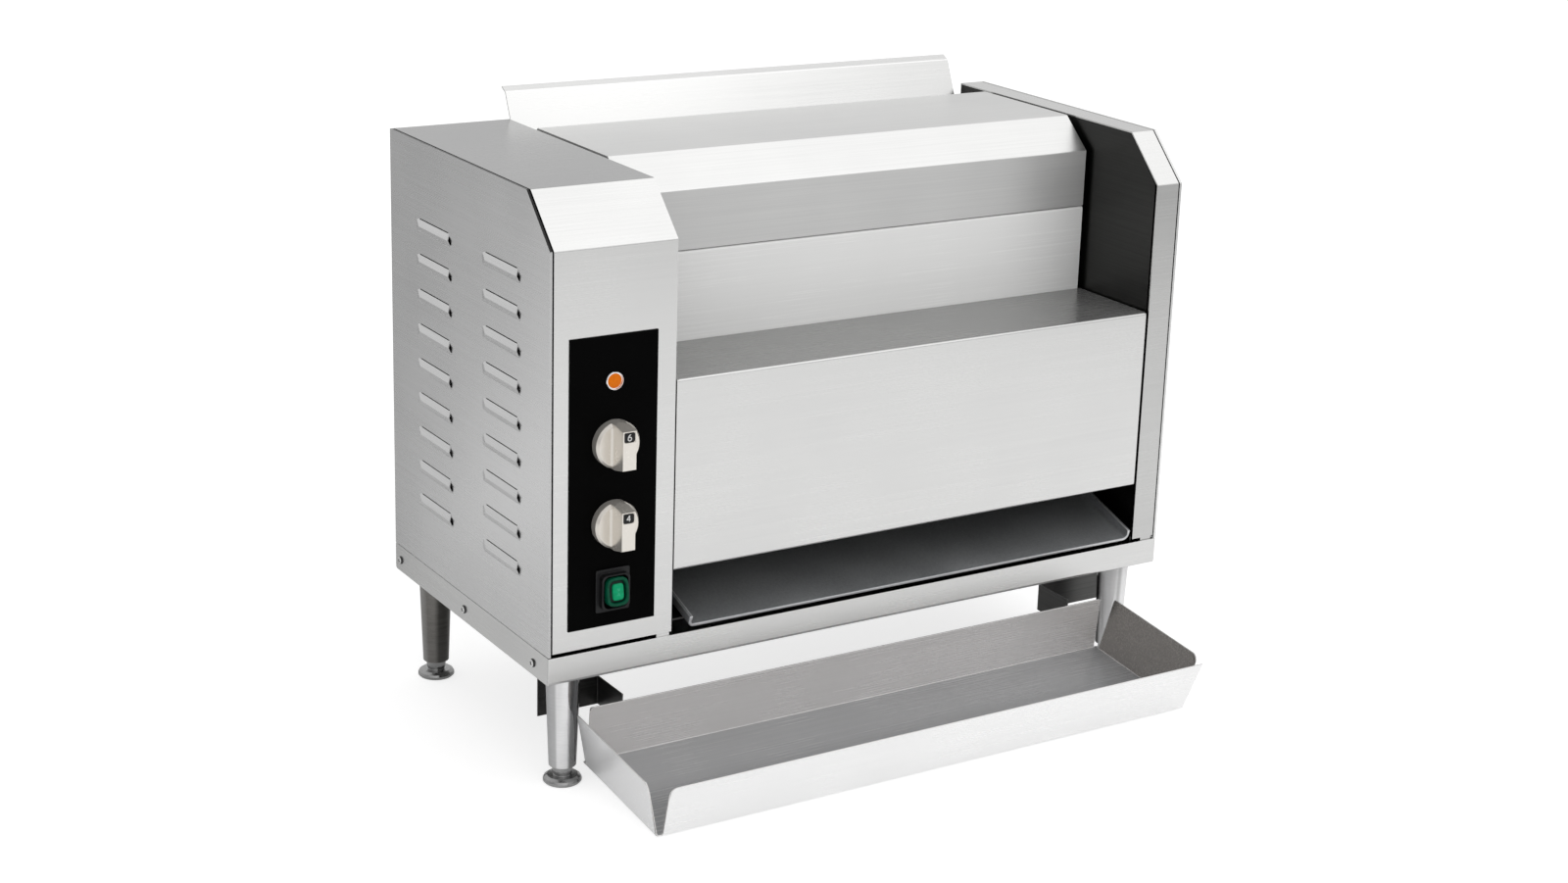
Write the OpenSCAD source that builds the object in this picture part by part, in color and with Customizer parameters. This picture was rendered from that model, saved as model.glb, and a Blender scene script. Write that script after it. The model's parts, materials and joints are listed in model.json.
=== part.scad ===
// Vertical bun toaster for a counter, with one feed slot behind a conveyor.
// Lengths are in millimetres and +Z is up. The origin is on the counter, at the centre of the outline.
// The modules work with x = 0 at the left side, y = 0 at the front and z = 0 under the base pan.

/* [Body] */
// width over the two side panels
body_w = 734; // [680:2:840]
// depth of the body from the front to the rear panel
body_d = 358; // [352:1:380]
// height from the underside of the base pan to the top
body_h = 470; // [460:1:490]
// height of the base pan's rails
base_h = 28; // [24:1:29]
// width of the housing that holds the controls
left_w = 132; // [126:1:150]
// width of the narrow housing on the right
right_w = 32; // [28:1:44]
// size of the slope at the top front of both housings
chamfer = 48; // [36:1:56]
// thickness of the steel sheet
sheet = 1.5; // [1.2:0.1:1.8]
// outer radius of the folds
fold_r = 3; // [2.5:0.1:4]
// open seam between two panels
seam = 0.8; // [0.6:0.1:1.6]
// open seam under the front of both housings
front_seam = 4; // [3:0.5:5]

/* [Covers] */
// how far the upper front stands back from the lower front
setback = 115; // [100:1:122]
// height of the shelf on the lower front cover
shelf_z = 286; // [270:1:296]
// height of the lower front cover's bottom edge
discharge_z = 94; // [90:1:104]
// height of the seam under the top cover
cover_seam_z = 378; // [360:1:390]
// depth of the top cover's slope
cover_slope_d = 37; // [25:1:44]
// drop of the top cover's slope
cover_slope_h = 32; // [22:1:36]
// gap between the middle covers and the housings
cover_gap = 5.5; // [4:0.1:8]

/* [Feeder] */
// lean of the feeder from upright, in degrees
feeder_lean = 24; // [20:0.5:26]
// height of the feeder's upper fold above the body
feeder_rise = 25; // [15:1:40]
// length of the lip along the feeder's top
feeder_lip = 10; // [6:1:16]

/* [Toasting] */
// gap for the bun between the belt's ribs and the hot plate
bun_gap = 26; // [20:1:30]
// thickness of the hot plate
platen_t = 14; // [12:1:16]
// radius of the heater tube
heater_r = 4; // [3:0.1:4.5]
// thickness of the insulating board
board_t = 10; // [8:1:12]
// radius of the belt rollers
roller_r = 27; // [24:0.5:28]
// thickness of the belt
belt_t = 3; // [2:0.1:3.5]
// height of the belt's ribs
rib_h = 3; // [2:0.1:4]
// distance between the belt's ribs
rib_pitch = 23; // [18:1:30]
// radius of both roller shafts
shaft_r = 8; // [6.5:0.1:9]

/* [Discharge] */
// slope of the chute and the landing pan, in degrees
chute_slope = 18; // [16:0.5:18.5]
// thickness of the landing pan
pan_t = 3.5; // [3:0.1:4]
// depth of the landing pan
pan_d = 104; // [96:1:110]
// height of the pan's side walls
pan_side = 13; // [10:0.5:15]

/* [Catch tray] */
// distance of the tray's floor from the sides of the body
tray_inset = 51; // [50:1:86]
// depth of the tray's floor
tray_d = 150; // [130:1:156]
// height of the tray's side and rear walls
tray_h = 60; // [46:1:62]
// outward lean of the tray's side walls, in degrees
tray_lean = 13; // [8:0.5:14]
// slope of the tray's floor, in degrees
tray_tilt = 5.6; // [4:0.1:6]
// radius of the walls' upper corners at the front
tray_corner_r = 8; // [4:0.5:12]

/* [Legs] */
// distance of each leg's axis from the sides of the base
leg_inset = 31; // [28:0.5:32]
// length of the leg tube
leg_len = 98; // [96:1:110]
// radius of the leg at the top
leg_top_r = 17; // [16:0.1:18]
// radius of the leg at the bottom
leg_low_r = 13.5; // [12.6:0.1:14]
// height of the foot under the leg
foot_h = 18; // [16:0.5:24]
// radius of the foot's rim
foot_r = 19; // [16:0.1:22]

/* [Louvres] */
// louvres in each column
louvre_rows = 9; // [4:1:9]
// distance between the rows
louvre_pitch = 36; // [30:1:36]
// length of one louvre
louvre_len = 82; // [74:1:92]
// height of one louvre
louvre_h = 13; // [12:0.5:16]
// how far a louvre stands out
louvre_out = 3; // [2.6:0.2:4]

/* [Controls] */
// width of the control plate
plate_w = 92; // [78:1:98]
// height of the control plate
plate_h = 286; // [276:1:300]
// thickness of the control plate
plate_t = 1.2; // [0.8:0.1:2]
// radius of the control knobs
knob_r = 23; // [20:0.5:25]
// how far a knob stands out
knob_h = 31; // [26:0.5:34]
// width of a knob's grip
grip_w = 14; // [11:0.5:16]
// width of the rocker switch's frame
switch_w = 36; // [32:1:42]
// height of the rocker switch's frame
switch_h = 43; // [40:1:48]
// turn of the rocker between its two ends, in degrees
rocker_throw = 16; // [10:1:18]
// radius of the lamp's ring
lamp_r = 9; // [8:0.1:11]

/* [Hidden] */
$fn = 64;

steel = [0.78, 0.78, 0.77];
chrome = [0.85, 0.86, 0.87];
black = [0.05, 0.05, 0.05];
slate = [0.28, 0.29, 0.3];
coated = [0.16, 0.16, 0.16];

// Clearances.
touch = 0.02;
run_fit = 0.06;
belt_clear = 0.4;
edge_gap = 0.5;
knob_gap = 0.8;
eps = 0.01;

// Outline of the housings.
panel_z = base_h + seam;
front_top = body_h - chamfer;
wall_l = left_w;
wall_r = body_w - right_w;
mid_l = wall_l + cover_gap;
mid_r = wall_r - cover_gap;
rear_in = body_d - sheet;
housing_path = [[0, panel_z], [0, front_top], [chamfer, body_h], [rear_in, body_h]];
fascia_z = base_h + front_seam;
fascia_path = [[0, fascia_z], [0, front_top], [chamfer, body_h], [rear_in, body_h]];
hem_w = 2.5;
hem_gap = 1.6;
fascia_in = hem_w + hem_gap;
tab_w = 14;
strip_low = 6;
strip_rise = 12;
rear_lap = 12;

// Depth of the toasting space, counted forward from the rear panel.
clamp_t = 2;
board_front = rear_in - board_t;
platen_back = board_front - clamp_t - 2 * heater_r;
platen_front = platen_back - platen_t;
rib_face = platen_front - bun_gap;
belt_in_r = roller_r + belt_clear;
belt_out_r = belt_in_r + belt_t;
belt_y = rib_face - rib_h - belt_out_r;
idler_drop = 50;
idler_z = body_h - idler_drop;
drive_z = 205;
rib_w = 3;
belt_end = 15;
bed_hem = 20;
bed_gap = 3;
collar_t = 4;
collar_w = 3;
shaft_out = 6;
cover_rear = rib_face + 9;

// Feeder.
feeder_low_y = platen_front;
feeder_tan = tan(feeder_lean);
feeder_top_z = body_h + feeder_rise;
feeder_drop = 94;
feeder_low_z = body_h - feeder_drop;
feeder_top_y = feeder_low_y + (feeder_top_z - feeder_low_z) * feeder_tan;
lip_turn = 62;
feeder_back = feeder_top_y + feeder_lip * sin(lip_turn);
feeder_end_z = feeder_top_z + feeder_lip * cos(lip_turn);
feeder_hem = 12;
feeder_inset = 4;
slot_z = body_h - 30;
ledge_drop = 18;

// Platen and heater.
platen_z = 166;
platen_top = feeder_low_z - sheet - 2;
platen_gap = 8;
platen_l = wall_l + platen_gap;
platen_r = wall_r - platen_gap;
heater_rows = 4;
heater_edge = 18;
heater_low = platen_z + heater_edge;
heater_pitch = (platen_top - heater_edge - heater_low) / (heater_rows - 1);
heater_end = 12;
pin_end = 20;
bevel_d = 3;
bevel_h = 6;
clamp_w = 20;
clamp_low = 4;
bracket_back = 4;
bracket_end = 20;
board_top = feeder_low_z - ledge_drop - 4;

// Discharge.
pan_front = -8;
pan_rise = 8;
pan_low = base_h + pan_rise;
pan_back = pan_front + pan_d;
chute_tan = tan(chute_slope);
pan_gap = 13.5;
pan_l = wall_l + pan_gap;
pan_r = wall_r - pan_gap;
pan_bend = 7;
chute_front = pan_back + 2;
chute_low = pan_low + pan_d * chute_tan + pan_t / cos(chute_slope) + 1;
chute_back = platen_front + platen_t - 1;
chute_rise = 8;
chute_side = 14;
runner_w = 30;
runner_t = 2;
runner_front = 16;
runner_back = 6;
runner_h = 14;
runner_low = 6;

// Covers.
cover_path = [[setback, cover_seam_z], [setback, body_h - cover_slope_h],
              [setback + cover_slope_d, body_h], [cover_rear, body_h],
              [cover_rear, body_h - 16]];
rail_z = body_h - 24;
rail_h = 8;
rail_end = 10;
ledge_z = 150;
ledge_h = 20;
ledge_end = 20;
cover_hem = 14;
front_lap = 24;
front_hem = 18;
front_gap = 1.5;
front_l = wall_l + front_gap;
front_r = wall_r - 2 * front_gap;
ledge_w = cover_gap + 6;
return_d = 25;

// Legs and tray.
foot_z = -leg_len - foot_h;
neck_r = leg_low_r - 3;
foot_travel = 20;
neck_hold = 15;
neck_in = foot_travel + neck_hold;
neck_room = 5;
rim_h = 8;
rim_edge = 4;
stud_r = 5;
stud_h = 13;
nut_room = 2.6 * stud_r;
nut_h = 8;
tray_w = body_w - 2 * tray_inset;
tray_back = leg_inset - 5;
tray_front = tray_back - tray_d * cos(tray_tilt);
tray_z = foot_z + 2;
carrier_back = 46;
carrier_y = leg_inset + carrier_back;
carrier_in = 42;
carrier_x = tray_inset + carrier_in;
carrier_top = -36;
carrier_h = 30;
hanger_left = 27;
hanger_right = 12;
hanger_w = 12;
hanger_d = 18;
carrier_foot_d = 30;
carrier_foot_w = 26;
carrier_edge = 5;
carrier_web = 8;
tray_clear = 6;
tray_notch = 2;
tray_drop = 5;
tray_front_h = tray_h - tray_drop;
tray_front_lean = 9.3;
tray_front_in = 6;
tray_rear_r = 3;

// Controls.
panel_x = left_w / 2;
plate_z = 52;
lamp_z = plate_z + plate_h - 44;
knob_drop = 60;
knob_pitch = 79;
knob_z1 = lamp_z - knob_drop;
knob_z2 = knob_z1 - knob_pitch;
switch_rise = 36;
switch_z = plate_z + switch_rise;
spindle_r = 3;
spindle_hole = 5;
spindle_in = 14;
skirt_h = 11;
skirt_bevel = 3;
grip_slant = 3.7;
grip_under = 4.6;
grip_fillet = 2.5;
mark_edge = 1.2;
mark_top = 0.8;
mark_len = 10;
mark_deep = 0.8;
knob_back = -plate_t - knob_gap;
pivot_r = 1.5;
rocker_w = switch_w - 12;
rocker_h = switch_h - 14;
rocker_out = 3.5;
rocker_y = -plate_t - rocker_out;
pin_len = 1.8;
button_gap = 0.4;
button_in = 5;
button_side = 8;
button_out = 10;
button_crest = 10.4;
button_dip = 2.2;
button_bevel = 0.8;
button_r = 5;
switch_d = 26;
bezel_t = 2;
bezel_r = 2;
rim_t = 7;
rim_w = 3;
rim_r = 5;
well_side = 0.6;
well_end = 1.5;
well_in = 12;
well_r = 5.5;
ring_w = 1.2;
ring_t = 2.2;
sleeve_t = 0.6;
sleeve_in = 18;
dome_h = 1.2;
lens_in = 6;

// Parts inside the housing of the controls.
gear_gap = 3;
gear_w = 41;
gear_d = 60;
gear_low = 32;
gear_high = 40;
motor_r = 28;
motor_len = 84;
post_r = 4;
post_at = 24;
thermo_w = 36;
thermo_d = 30;
thermo_r = 12;
thermo_len = 44;
speed_w = 48;
speed_h = 44;
speed_d = 26;
terminal_x = 30;
terminal_w = 60;
terminal_d = 30;
terminal_h = 26;
terminal_back = 90;
terminal_pitch = 20;
terminal_hole = 3.5;
terminal_deep = 12;

// Screws.
screw_r = 4.3;
screw_head = 2.4;
shank_r = 2;
slot_w = 1;
slot_len = 1.1 * screw_r;
screw_z = 12.5;
screw_ys = [leg_inset + 2, body_d / 2 + 9, body_d - 13];
screw_len = 6;
rear_screw_low = 80;
rear_screw_top = body_h - 30;
rear_screw_rows = 4;
rear_screw_pitch = (rear_screw_top - rear_screw_low) / (rear_screw_rows - 1);
rear_screw_zs = [for (i = [0:rear_screw_rows - 1]) rear_screw_low + i * rear_screw_pitch];
rear_screw_xs = [rear_lap / 2 + 1, body_w - rear_lap / 2 - 1];

// Louvres.
louvre_top = 392;
louvre_front = 61;
louvre_rear = 63;
louvre_ys = [louvre_front, body_d - louvre_rear - louvre_len];
louvre_t = 1;
louvre_rake = 5;
louvre_fade = 18;
louvre_end = 4;
louvre_slit = 0.8;

// Gland for the mains cable.
gland_x = 62;
gland_z = 74;
gland_r = 10;
gland_in = 14;
gland_out = 18;
gland_nut = 4;
collar_out = 7;
collar_in = 6;
cable_r = 5;

// Centre of the outline.
tray_tip = tray_front - tray_front_h * sin(tray_tilt + tray_front_lean);
centre_x = (body_w + screw_head - louvre_out) / 2;
centre_y = (tray_tip + feeder_back) / 2;

function unit(v) = v / norm(v);
function left_of(v) = [-v[1], v[0]];
function cross2(a, b) = a[0] * b[1] - a[1] * b[0];
function spun(v, a) = [v[0] * cos(a) - v[1] * sin(a), v[0] * sin(a) + v[1] * cos(a)];
function reversed(p) = [for (i = [len(p) - 1:-1:0]) p[i]];
function normals(p) = [for (i = [0:len(p) - 2]) left_of(unit(p[i + 1] - p[i]))];

// A path moved sideways by d, with mitred corners.
function shifted(p, d) =
  let (n = normals(p), m = len(p) - 1)
  [for (i = [0:m])
    i == 0 ? p[0] + n[0] * d
    : i == m ? p[m] + n[m - 1] * d
    : p[i] + (n[i - 1] + n[i]) * d / (1 + n[i - 1] * n[i])];

// The points of one fold of radius r at b.
function fold(a, b, c, r) =
  let (u = unit(a - b), v = unit(c - b), open = acos(u * v))
  let (start = b + u * r / tan(open / 2), mid = b + unit(u + v) * r / sin(open / 2))
  let (sweep = (cross2(b - a, c - b) > 0 ? 1 : -1) * (180 - open))
  [for (k = [0:4]) mid + spun(start - mid, sweep * k / 4)];

function folded(p, r) = concat(
  [p[0]],
  [for (i = [1:len(p) - 2]) each fold(p[i - 1], p[i], p[i + 1], r)],
  [p[len(p) - 1]]);

// Height of the sloping chute and pan at depth y, from a point on the slope.
function slope_z(y, y0, z0) = z0 + (y - y0) * chute_tan;

module place() translate([-centre_x, -centre_y, -foot_z]) children();

// An outline in y and z, drawn out along x.
module along_x(x0, x1) translate([x0, 0, 0]) rotate([90, 0, 90]) linear_extrude(x1 - x0) children();

// An outline in x and z, drawn out along y.
module along_y(y0, y1) translate([0, y1, 0]) rotate([90, 0, 0]) linear_extrude(y1 - y0) children();

module rod_x(x0, x1, y, z, r) translate([x0, y, z]) rotate([0, 90, 0]) cylinder(h = x1 - x0, r = r);

module rod_y(y0, y1, x, z, r) translate([x, y1, z]) rotate([90, 0, 0]) cylinder(h = y1 - y0, r = r);

module box(low, high) translate(low) cube(high - low);

// A folded sheet along x. The side tells which way it is thick.
module sheet_x(path, x0, x1, side, t = sheet, r = fold_r) {
  outer = folded(path, r);
  along_x(x0, x1) polygon(concat(outer, reversed(shifted(outer, side * t))));
}

// A copy at the other side of the body's middle.
module other_side() translate([body_w, 0, 0]) mirror([1, 0, 0]) children();

// A copy between the inner walls, turned to the right-hand wall.
module other_wall() translate([wall_l + wall_r, 0, 0]) mirror([1, 0, 0]) children();

module rounded_square(w, h, r) {
  translate([-w / 2 + r, -h / 2]) square([w - 2 * r, h]);
  translate([-w / 2, -h / 2 + r]) square([w, h - 2 * r]);
  for (sx = [-1, 1], sz = [-1, 1]) translate([sx * (w / 2 - r), sz * (h / 2 - r)]) circle(r);
}

module leg_spots() {
  for (x = [leg_inset, body_w - leg_inset], y = [leg_inset, body_d - leg_inset]) {
    translate([x, y, 0]) children();
  }
}

module base_pan() color(steel) difference() {
  union() {
    sheet_x([[0, base_h], [0, 0], [body_d, 0], [body_d, base_h]], 0, body_w, 1);
    for (x = [0, body_w - sheet]) {
      box([x, sheet + edge_gap, 0], [x + sheet, rear_in - edge_gap, base_h]);
    }
  }
  leg_spots() cylinder(h = 4 * sheet, r = stud_r + touch, center = true);
  for (y = screw_ys) rod_x(-sheet, body_w + sheet, y, screw_z, shank_r + touch);
}

module leg() rotate_extrude() polygon([
  [0, stud_h], [stud_r, stud_h], [stud_r, 0], [leg_top_r - 2, 0], [leg_top_r, -2],
  [leg_low_r, -leg_len], [neck_r + run_fit, -leg_len],
  [neck_r + run_fit, neck_in + neck_room - leg_len], [0, neck_in + neck_room - leg_len]
]);

module foot() rotate_extrude() polygon([
  [0, neck_in - leg_len], [neck_r, neck_in - leg_len], [neck_r, -leg_len - 1],
  [neck_r - 1.2, foot_z + rim_h], [foot_r - rim_edge, foot_z + 0.92 * rim_h], [foot_r - 1, foot_z + 5.4],
  [foot_r, foot_z + 3.4], [foot_r, foot_z + 1.6], [foot_r - 1.6, foot_z], [0, foot_z]
]);

module leg_at(x, y) color(chrome) translate([x, y, 0]) leg();

module foot_at(x, y) color(chrome) translate([x, y, 0]) foot();

module leg_front_left() leg_at(leg_inset, leg_inset);

module leg_front_right() leg_at(body_w - leg_inset, leg_inset);

module leg_rear_left() leg_at(leg_inset, body_d - leg_inset);

module leg_rear_right() leg_at(body_w - leg_inset, body_d - leg_inset);

module foot_front_left() foot_at(leg_inset, leg_inset);

module foot_front_right() foot_at(body_w - leg_inset, leg_inset);

module foot_rear_left() foot_at(leg_inset, body_d - leg_inset);

module foot_rear_right() foot_at(body_w - leg_inset, body_d - leg_inset);

module leg_nuts() color(chrome) leg_spots() translate([0, 0, sheet]) linear_extrude(nut_h) difference() {
  circle(stud_r * 1.7, $fn = 6);
  circle(stud_r + touch);
}

// Section of a louvre. The upper face slopes out to a ridge, and the lower face runs back in.
louvre_ridge = 0.5;
louvre_path = louvre_h * [[0, 0], [0, -louvre_ridge], [0, -0.8], [0, -1]]
  - louvre_out * [[0, 0], [1, 0], [0.6, 0], [0, 0]];
louvre_mouth = [[sheet, 2 * sheet - louvre_h], [sheet, -2 * sheet]];

// How far back the raked front end of a louvre is at height z.
function rake_y(z) = louvre_rake * (1 + z / louvre_h);

// Side view of a louvre, with a raked front and a round rear end.
module louvre_side() along_x(-2 * louvre_out, sheet) {
  round_y = louvre_len - louvre_h / 2;
  low = -louvre_h - sheet;
  polygon([[rake_y(sheet), sheet], [round_y, sheet], [round_y, low], [rake_y(low), low]]);
  translate([round_y, -louvre_h / 2]) circle(louvre_h / 2);
}

// Plan of a louvre, which fades into the panel towards its rear end.
module louvre_plan(far) translate([0, 0, -louvre_h - sheet]) linear_extrude(louvre_h + 2 * sheet) polygon([
  [2 * sheet, -sheet], [-louvre_out - sheet, -sheet], [-louvre_out - sheet, far - louvre_fade],
  [0, far], [2 * sheet, far]
]);

// A hollow scoop that is open at its front end.
module louvre() difference() {
  intersection() {
    along_y(-sheet, louvre_len) polygon(louvre_path);
    louvre_side();
    louvre_plan(louvre_len);
  }
  intersection() {
    along_y(-sheet, louvre_len) polygon(concat(shifted(louvre_path, louvre_t), louvre_mouth));
    louvre_plan(louvre_len - louvre_end);
  }
}

// The slot in the panel behind a louvre. It shows as a thin slit over the louvre's upper edge.
module louvre_slot() {
  high = louvre_slit;
  low = 2 * sheet - louvre_h;
  far = louvre_len - 2 * louvre_end;
  along_x(-sheet, 2 * sheet) polygon([
    [rake_y(high) + louvre_t, high], [far, high], [far, low], [rake_y(low) + louvre_t, low]
  ]);
}

module louvre_spots() {
  for (y = louvre_ys, i = [0:louvre_rows - 1]) {
    translate([eps, y, louvre_top - i * louvre_pitch]) children();
  }
}

// Section of the strip behind a base rail. It joins a panel that ends at height z and clears the rail.
function strip_path(z) = [
  [sheet + touch, strip_low], [2 * sheet, strip_low], [2 * sheet, z + strip_rise],
  [sheet - eps, z + strip_rise], [sheet - eps, z], [sheet + touch, (base_h + z) / 2]
];

// A side panel with a turned edge, the strip behind the base rail and the lap for the rear panel.
module side_panel() {
  along_x(0, sheet) polygon(concat(folded(housing_path, fold_r), [[rear_in, panel_z]]));
  sheet_x(housing_path, 0, hem_w, -1);
  difference() {
    along_y(3 * rear_lap, rear_in - 3 * rear_lap) polygon(strip_path(panel_z));
    for (y = screw_ys) rod_x(0, 3 * sheet, y, screw_z, shank_r + touch);
  }
  difference() {
    box([0, rear_in - sheet, panel_z], [rear_lap, rear_in, body_h - sheet - edge_gap]);
    for (z = rear_screw_zs) rod_y(rear_in - 2 * sheet, body_d, rear_screw_xs[0], z, shank_r + touch);
  }
}

module left_side_panel() color(steel) {
  difference() {
    side_panel();
    louvre_spots() louvre_slot();
  }
  louvre_spots() louvre();
}

module right_side_panel() color(steel) other_side() side_panel();

// Front, slope and top of a housing in one folded sheet.
module fascia(x0, x1) {
  sheet_x(fascia_path, x0, x1, -1);
  along_x(x1 - sheet - tab_w, x1 - sheet) polygon(strip_path(fascia_z));
}

module control_holes(y0, y1) {
  rod_y(y0, y1, panel_x, lamp_z, lamp_r - ring_w + touch);
  for (z = [knob_z1, knob_z2]) rod_y(y0, y1, panel_x, z, spindle_hole);
  translate([panel_x, 0, switch_z]) {
    along_y(y0, y1) square([rocker_w + 2 * rim_w, rocker_h + 2 * rim_w], center = true);
  }
}

module left_fascia() color(steel) difference() {
  fascia(fascia_in, wall_l);
  control_holes(-sheet, 3 * sheet);
}

module right_fascia() color(steel) fascia(wall_r, body_w - fascia_in);

module control_plate() color(black) difference() {
  box([panel_x - plate_w / 2, -plate_t, plate_z], [panel_x + plate_w / 2, 0, plate_z + plate_h]);
  control_holes(-2 * plate_t, plate_t);
}

// An inner wall with its foot on the base, its bores for the shafts and its holes for the heater tubes.
module inner_wall(x, foot_side) {
  inset = sheet + edge_gap;
  top = shifted(housing_path, -inset);
  far = rear_in - sheet - edge_gap;
  difference() {
    along_x(x, x + sheet) polygon([
      [fold_r + sheet, sheet], [fold_r + sheet, top[1][1] - fold_r], top[1] + [fold_r, fold_r * 0.5],
      top[2], [far, top[2][1]], [far, panel_z + strip_rise + 2 * sheet],
      [far - fold_r - sheet, panel_z + strip_rise], [far - fold_r - sheet, sheet]
    ]);
    for (z = [drive_z, idler_z]) rod_x(x - sheet, x + 2 * sheet, belt_y, z, shaft_r + collar_t + touch);
    heater_rods(x - sheet, x + 2 * sheet, heater_r + 1);
    for (y = [leg_inset, body_d - leg_inset]) {
      box([x - sheet, y - nut_room, 0], [x + 2 * sheet, y + nut_room, stud_h + nut_room / 2]);
    }
  }
  foot_x = foot_side < 0 ? x - rear_lap : x + sheet - eps;
  box([foot_x, 4 * rear_lap, sheet], [foot_x + rear_lap + eps, body_d - 4 * rear_lap, 2 * sheet]);
}

module left_inner_wall() color(steel) inner_wall(wall_l - sheet, -1);

module right_inner_wall() color(steel) inner_wall(wall_r, 1);

module rear_panel() color(steel) difference() {
  union() {
    along_y(rear_in, body_d) polygon([
      [0, panel_z], [0, body_h], [wall_l, body_h], [wall_l, slot_z], [wall_r, slot_z],
      [wall_r, body_h], [body_w, body_h], [body_w, panel_z]
    ]);
    translate([0, body_d, 0]) mirror([0, 1, 0]) {
      along_x(2 * rear_lap, body_w - 2 * rear_lap) polygon(strip_path(panel_z));
    }
  }
  for (x = rear_screw_xs, z = rear_screw_zs) {
    rod_y(rear_in - sheet, body_d + sheet, x, z, shank_r + touch);
  }
  rod_y(rear_in - 2 * sheet, body_d + sheet, gland_x, gland_z, gland_r + touch);
}

// A screw along +Z with its head below z = 0.
module screw(len) {
  difference() {
    rotate_extrude() polygon([
      [0, -screw_head], [screw_r * 0.5, -screw_head * 0.94], [screw_r * 0.85, -screw_head * 0.68],
      [screw_r, -screw_head * 0.25], [screw_r, 0], [shank_r, 0], [shank_r, len], [0, len]
    ]);
    for (a = [0, 90]) rotate([0, 0, a + 20]) {
      box([-slot_len / 2, -slot_w / 2, -screw_head - eps], [slot_len / 2, slot_w / 2, -screw_head * 0.45]);
    }
  }
}

module base_screws() color(chrome) {
  for (y = screw_ys) {
    translate([0, y, screw_z]) rotate([0, 90, 0]) screw(screw_len);
    translate([body_w, y, screw_z]) rotate([0, -90, 0]) screw(screw_len);
  }
}

module rear_screws() color(chrome) {
  for (x = rear_screw_xs, z = rear_screw_zs) {
    translate([x, body_d, z]) rotate([90, 0, 0]) screw(screw_len);
  }
}

// The top cover has a slope in front, a turned-down rear edge and two end flanges.
module top_cover() color(steel) {
  sheet_x(cover_path, mid_l, mid_r, -1);
  inner = shifted(cover_path, -sheet / 2);
  for (x = [mid_l, mid_r - sheet]) {
    along_x(x, x + sheet) intersection() {
      polygon(inner);
      translate([setback, rail_z]) square([cover_rear - setback, body_h - rail_z]);
    }
  }
}

module cover_rail() {
  y0 = setback + cover_slope_d + rail_end;
  y1 = cover_rear - rail_end;
  box([wall_l, y0, rail_z - sheet], [wall_l + ledge_w, y1, rail_z]);
  box([wall_l, y0, rail_z - rail_h], [wall_l + sheet, y1, rail_z]);
}

module cover_rails() color(steel) {
  cover_rail();
  other_wall() cover_rail();
}

// The upper front panel has a fold along its top and two returns that reach the inner walls.
module upper_front_panel() color(steel) {
  top = cover_seam_z - seam;
  sheet_x([[setback, shelf_z - front_lap], [setback, top], [setback + front_hem, top]], mid_l, mid_r, -1);
  upper_return();
  other_wall() upper_return();
}

module upper_return() {
  y0 = setback + sheet / 2;
  z0 = shelf_z + 6;
  z1 = cover_seam_z - cover_hem;
  box([mid_l, y0, z0], [mid_l + sheet, setback + return_d, z1]);
  box([wall_l, setback + return_d - sheet, z0], [mid_l + sheet, setback + return_d, z1]);
}

module lower_front_cover() color(steel) {
  back = setback - 1;
  sheet_x([[back, shelf_z], [0, shelf_z], [0, discharge_z], [cover_hem, discharge_z]], front_l, front_r, 1);
  for (x = [front_l, front_r - sheet]) {
    box([x, sheet / 2, ledge_z], [x + sheet, setback - 12, shelf_z - sheet / 2]);
  }
}

module front_ledge() {
  box([wall_l, ledge_end, ledge_z - sheet], [wall_l + ledge_w, setback - ledge_end, ledge_z]);
  box([wall_l, ledge_end, ledge_z - ledge_h], [wall_l + sheet, setback - ledge_end, ledge_z]);
}

module front_ledges() color(steel) {
  front_ledge();
  other_wall() front_ledge();
}

module bun_feeder() color(steel) sheet_x([
  [feeder_low_y + feeder_hem, feeder_low_z], [feeder_low_y, feeder_low_z],
  [feeder_top_y, feeder_top_z], [feeder_back, feeder_end_z]
], wall_l + feeder_inset, wall_r - 2 * feeder_inset, -1);

module feeder_ledge() color(steel) sheet_x([
  [platen_front + 2, feeder_low_z], [rear_in, feeder_low_z], [rear_in, feeder_low_z - ledge_drop]
], wall_l, wall_r, -1);

module hot_plate() color(coated) along_x(platen_l, platen_r) polygon([
  [platen_back, platen_z], [platen_front + bevel_d, platen_z], [platen_front, platen_z + bevel_h],
  [platen_front, platen_top - bevel_h], [platen_front + bevel_d, platen_top], [platen_back, platen_top]
]);

// Straight tubes behind the hot plate, with their ends in the two housings.
module heater_rods(x0, x1, r) {
  for (i = [0:heater_rows - 1]) {
    rod_x(x0, x1, platen_back + heater_r, heater_low + i * heater_pitch, r);
  }
}

module heater_tubes() color(slate) {
  heater_rods(wall_l - heater_end, wall_r + heater_end, heater_r);
  heater_rods(wall_l - pin_end, wall_r + pin_end, heater_r / 2);
}

module heater_clamps() color(steel) {
  for (f = [0.15, 0.5, 0.85]) {
    x = wall_l + f * (wall_r - wall_l);
    y0 = board_front - clamp_t;
    box([x - clamp_w / 2, y0, platen_z + clamp_low], [x + clamp_w / 2, board_front, board_top]);
  }
}

module insulation_board() color([0.85, 0.83, 0.78]) {
  box([platen_l, board_front, platen_z], [platen_r, rear_in, board_top]);
}

module plate_bracket() {
  y0 = platen_front + bracket_back;
  box([wall_l, y0, platen_z + bracket_end], [platen_l, platen_back, platen_top - bracket_end]);
}

module plate_brackets() color(steel) {
  plate_bracket();
  other_wall() plate_bracket();
}

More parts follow.
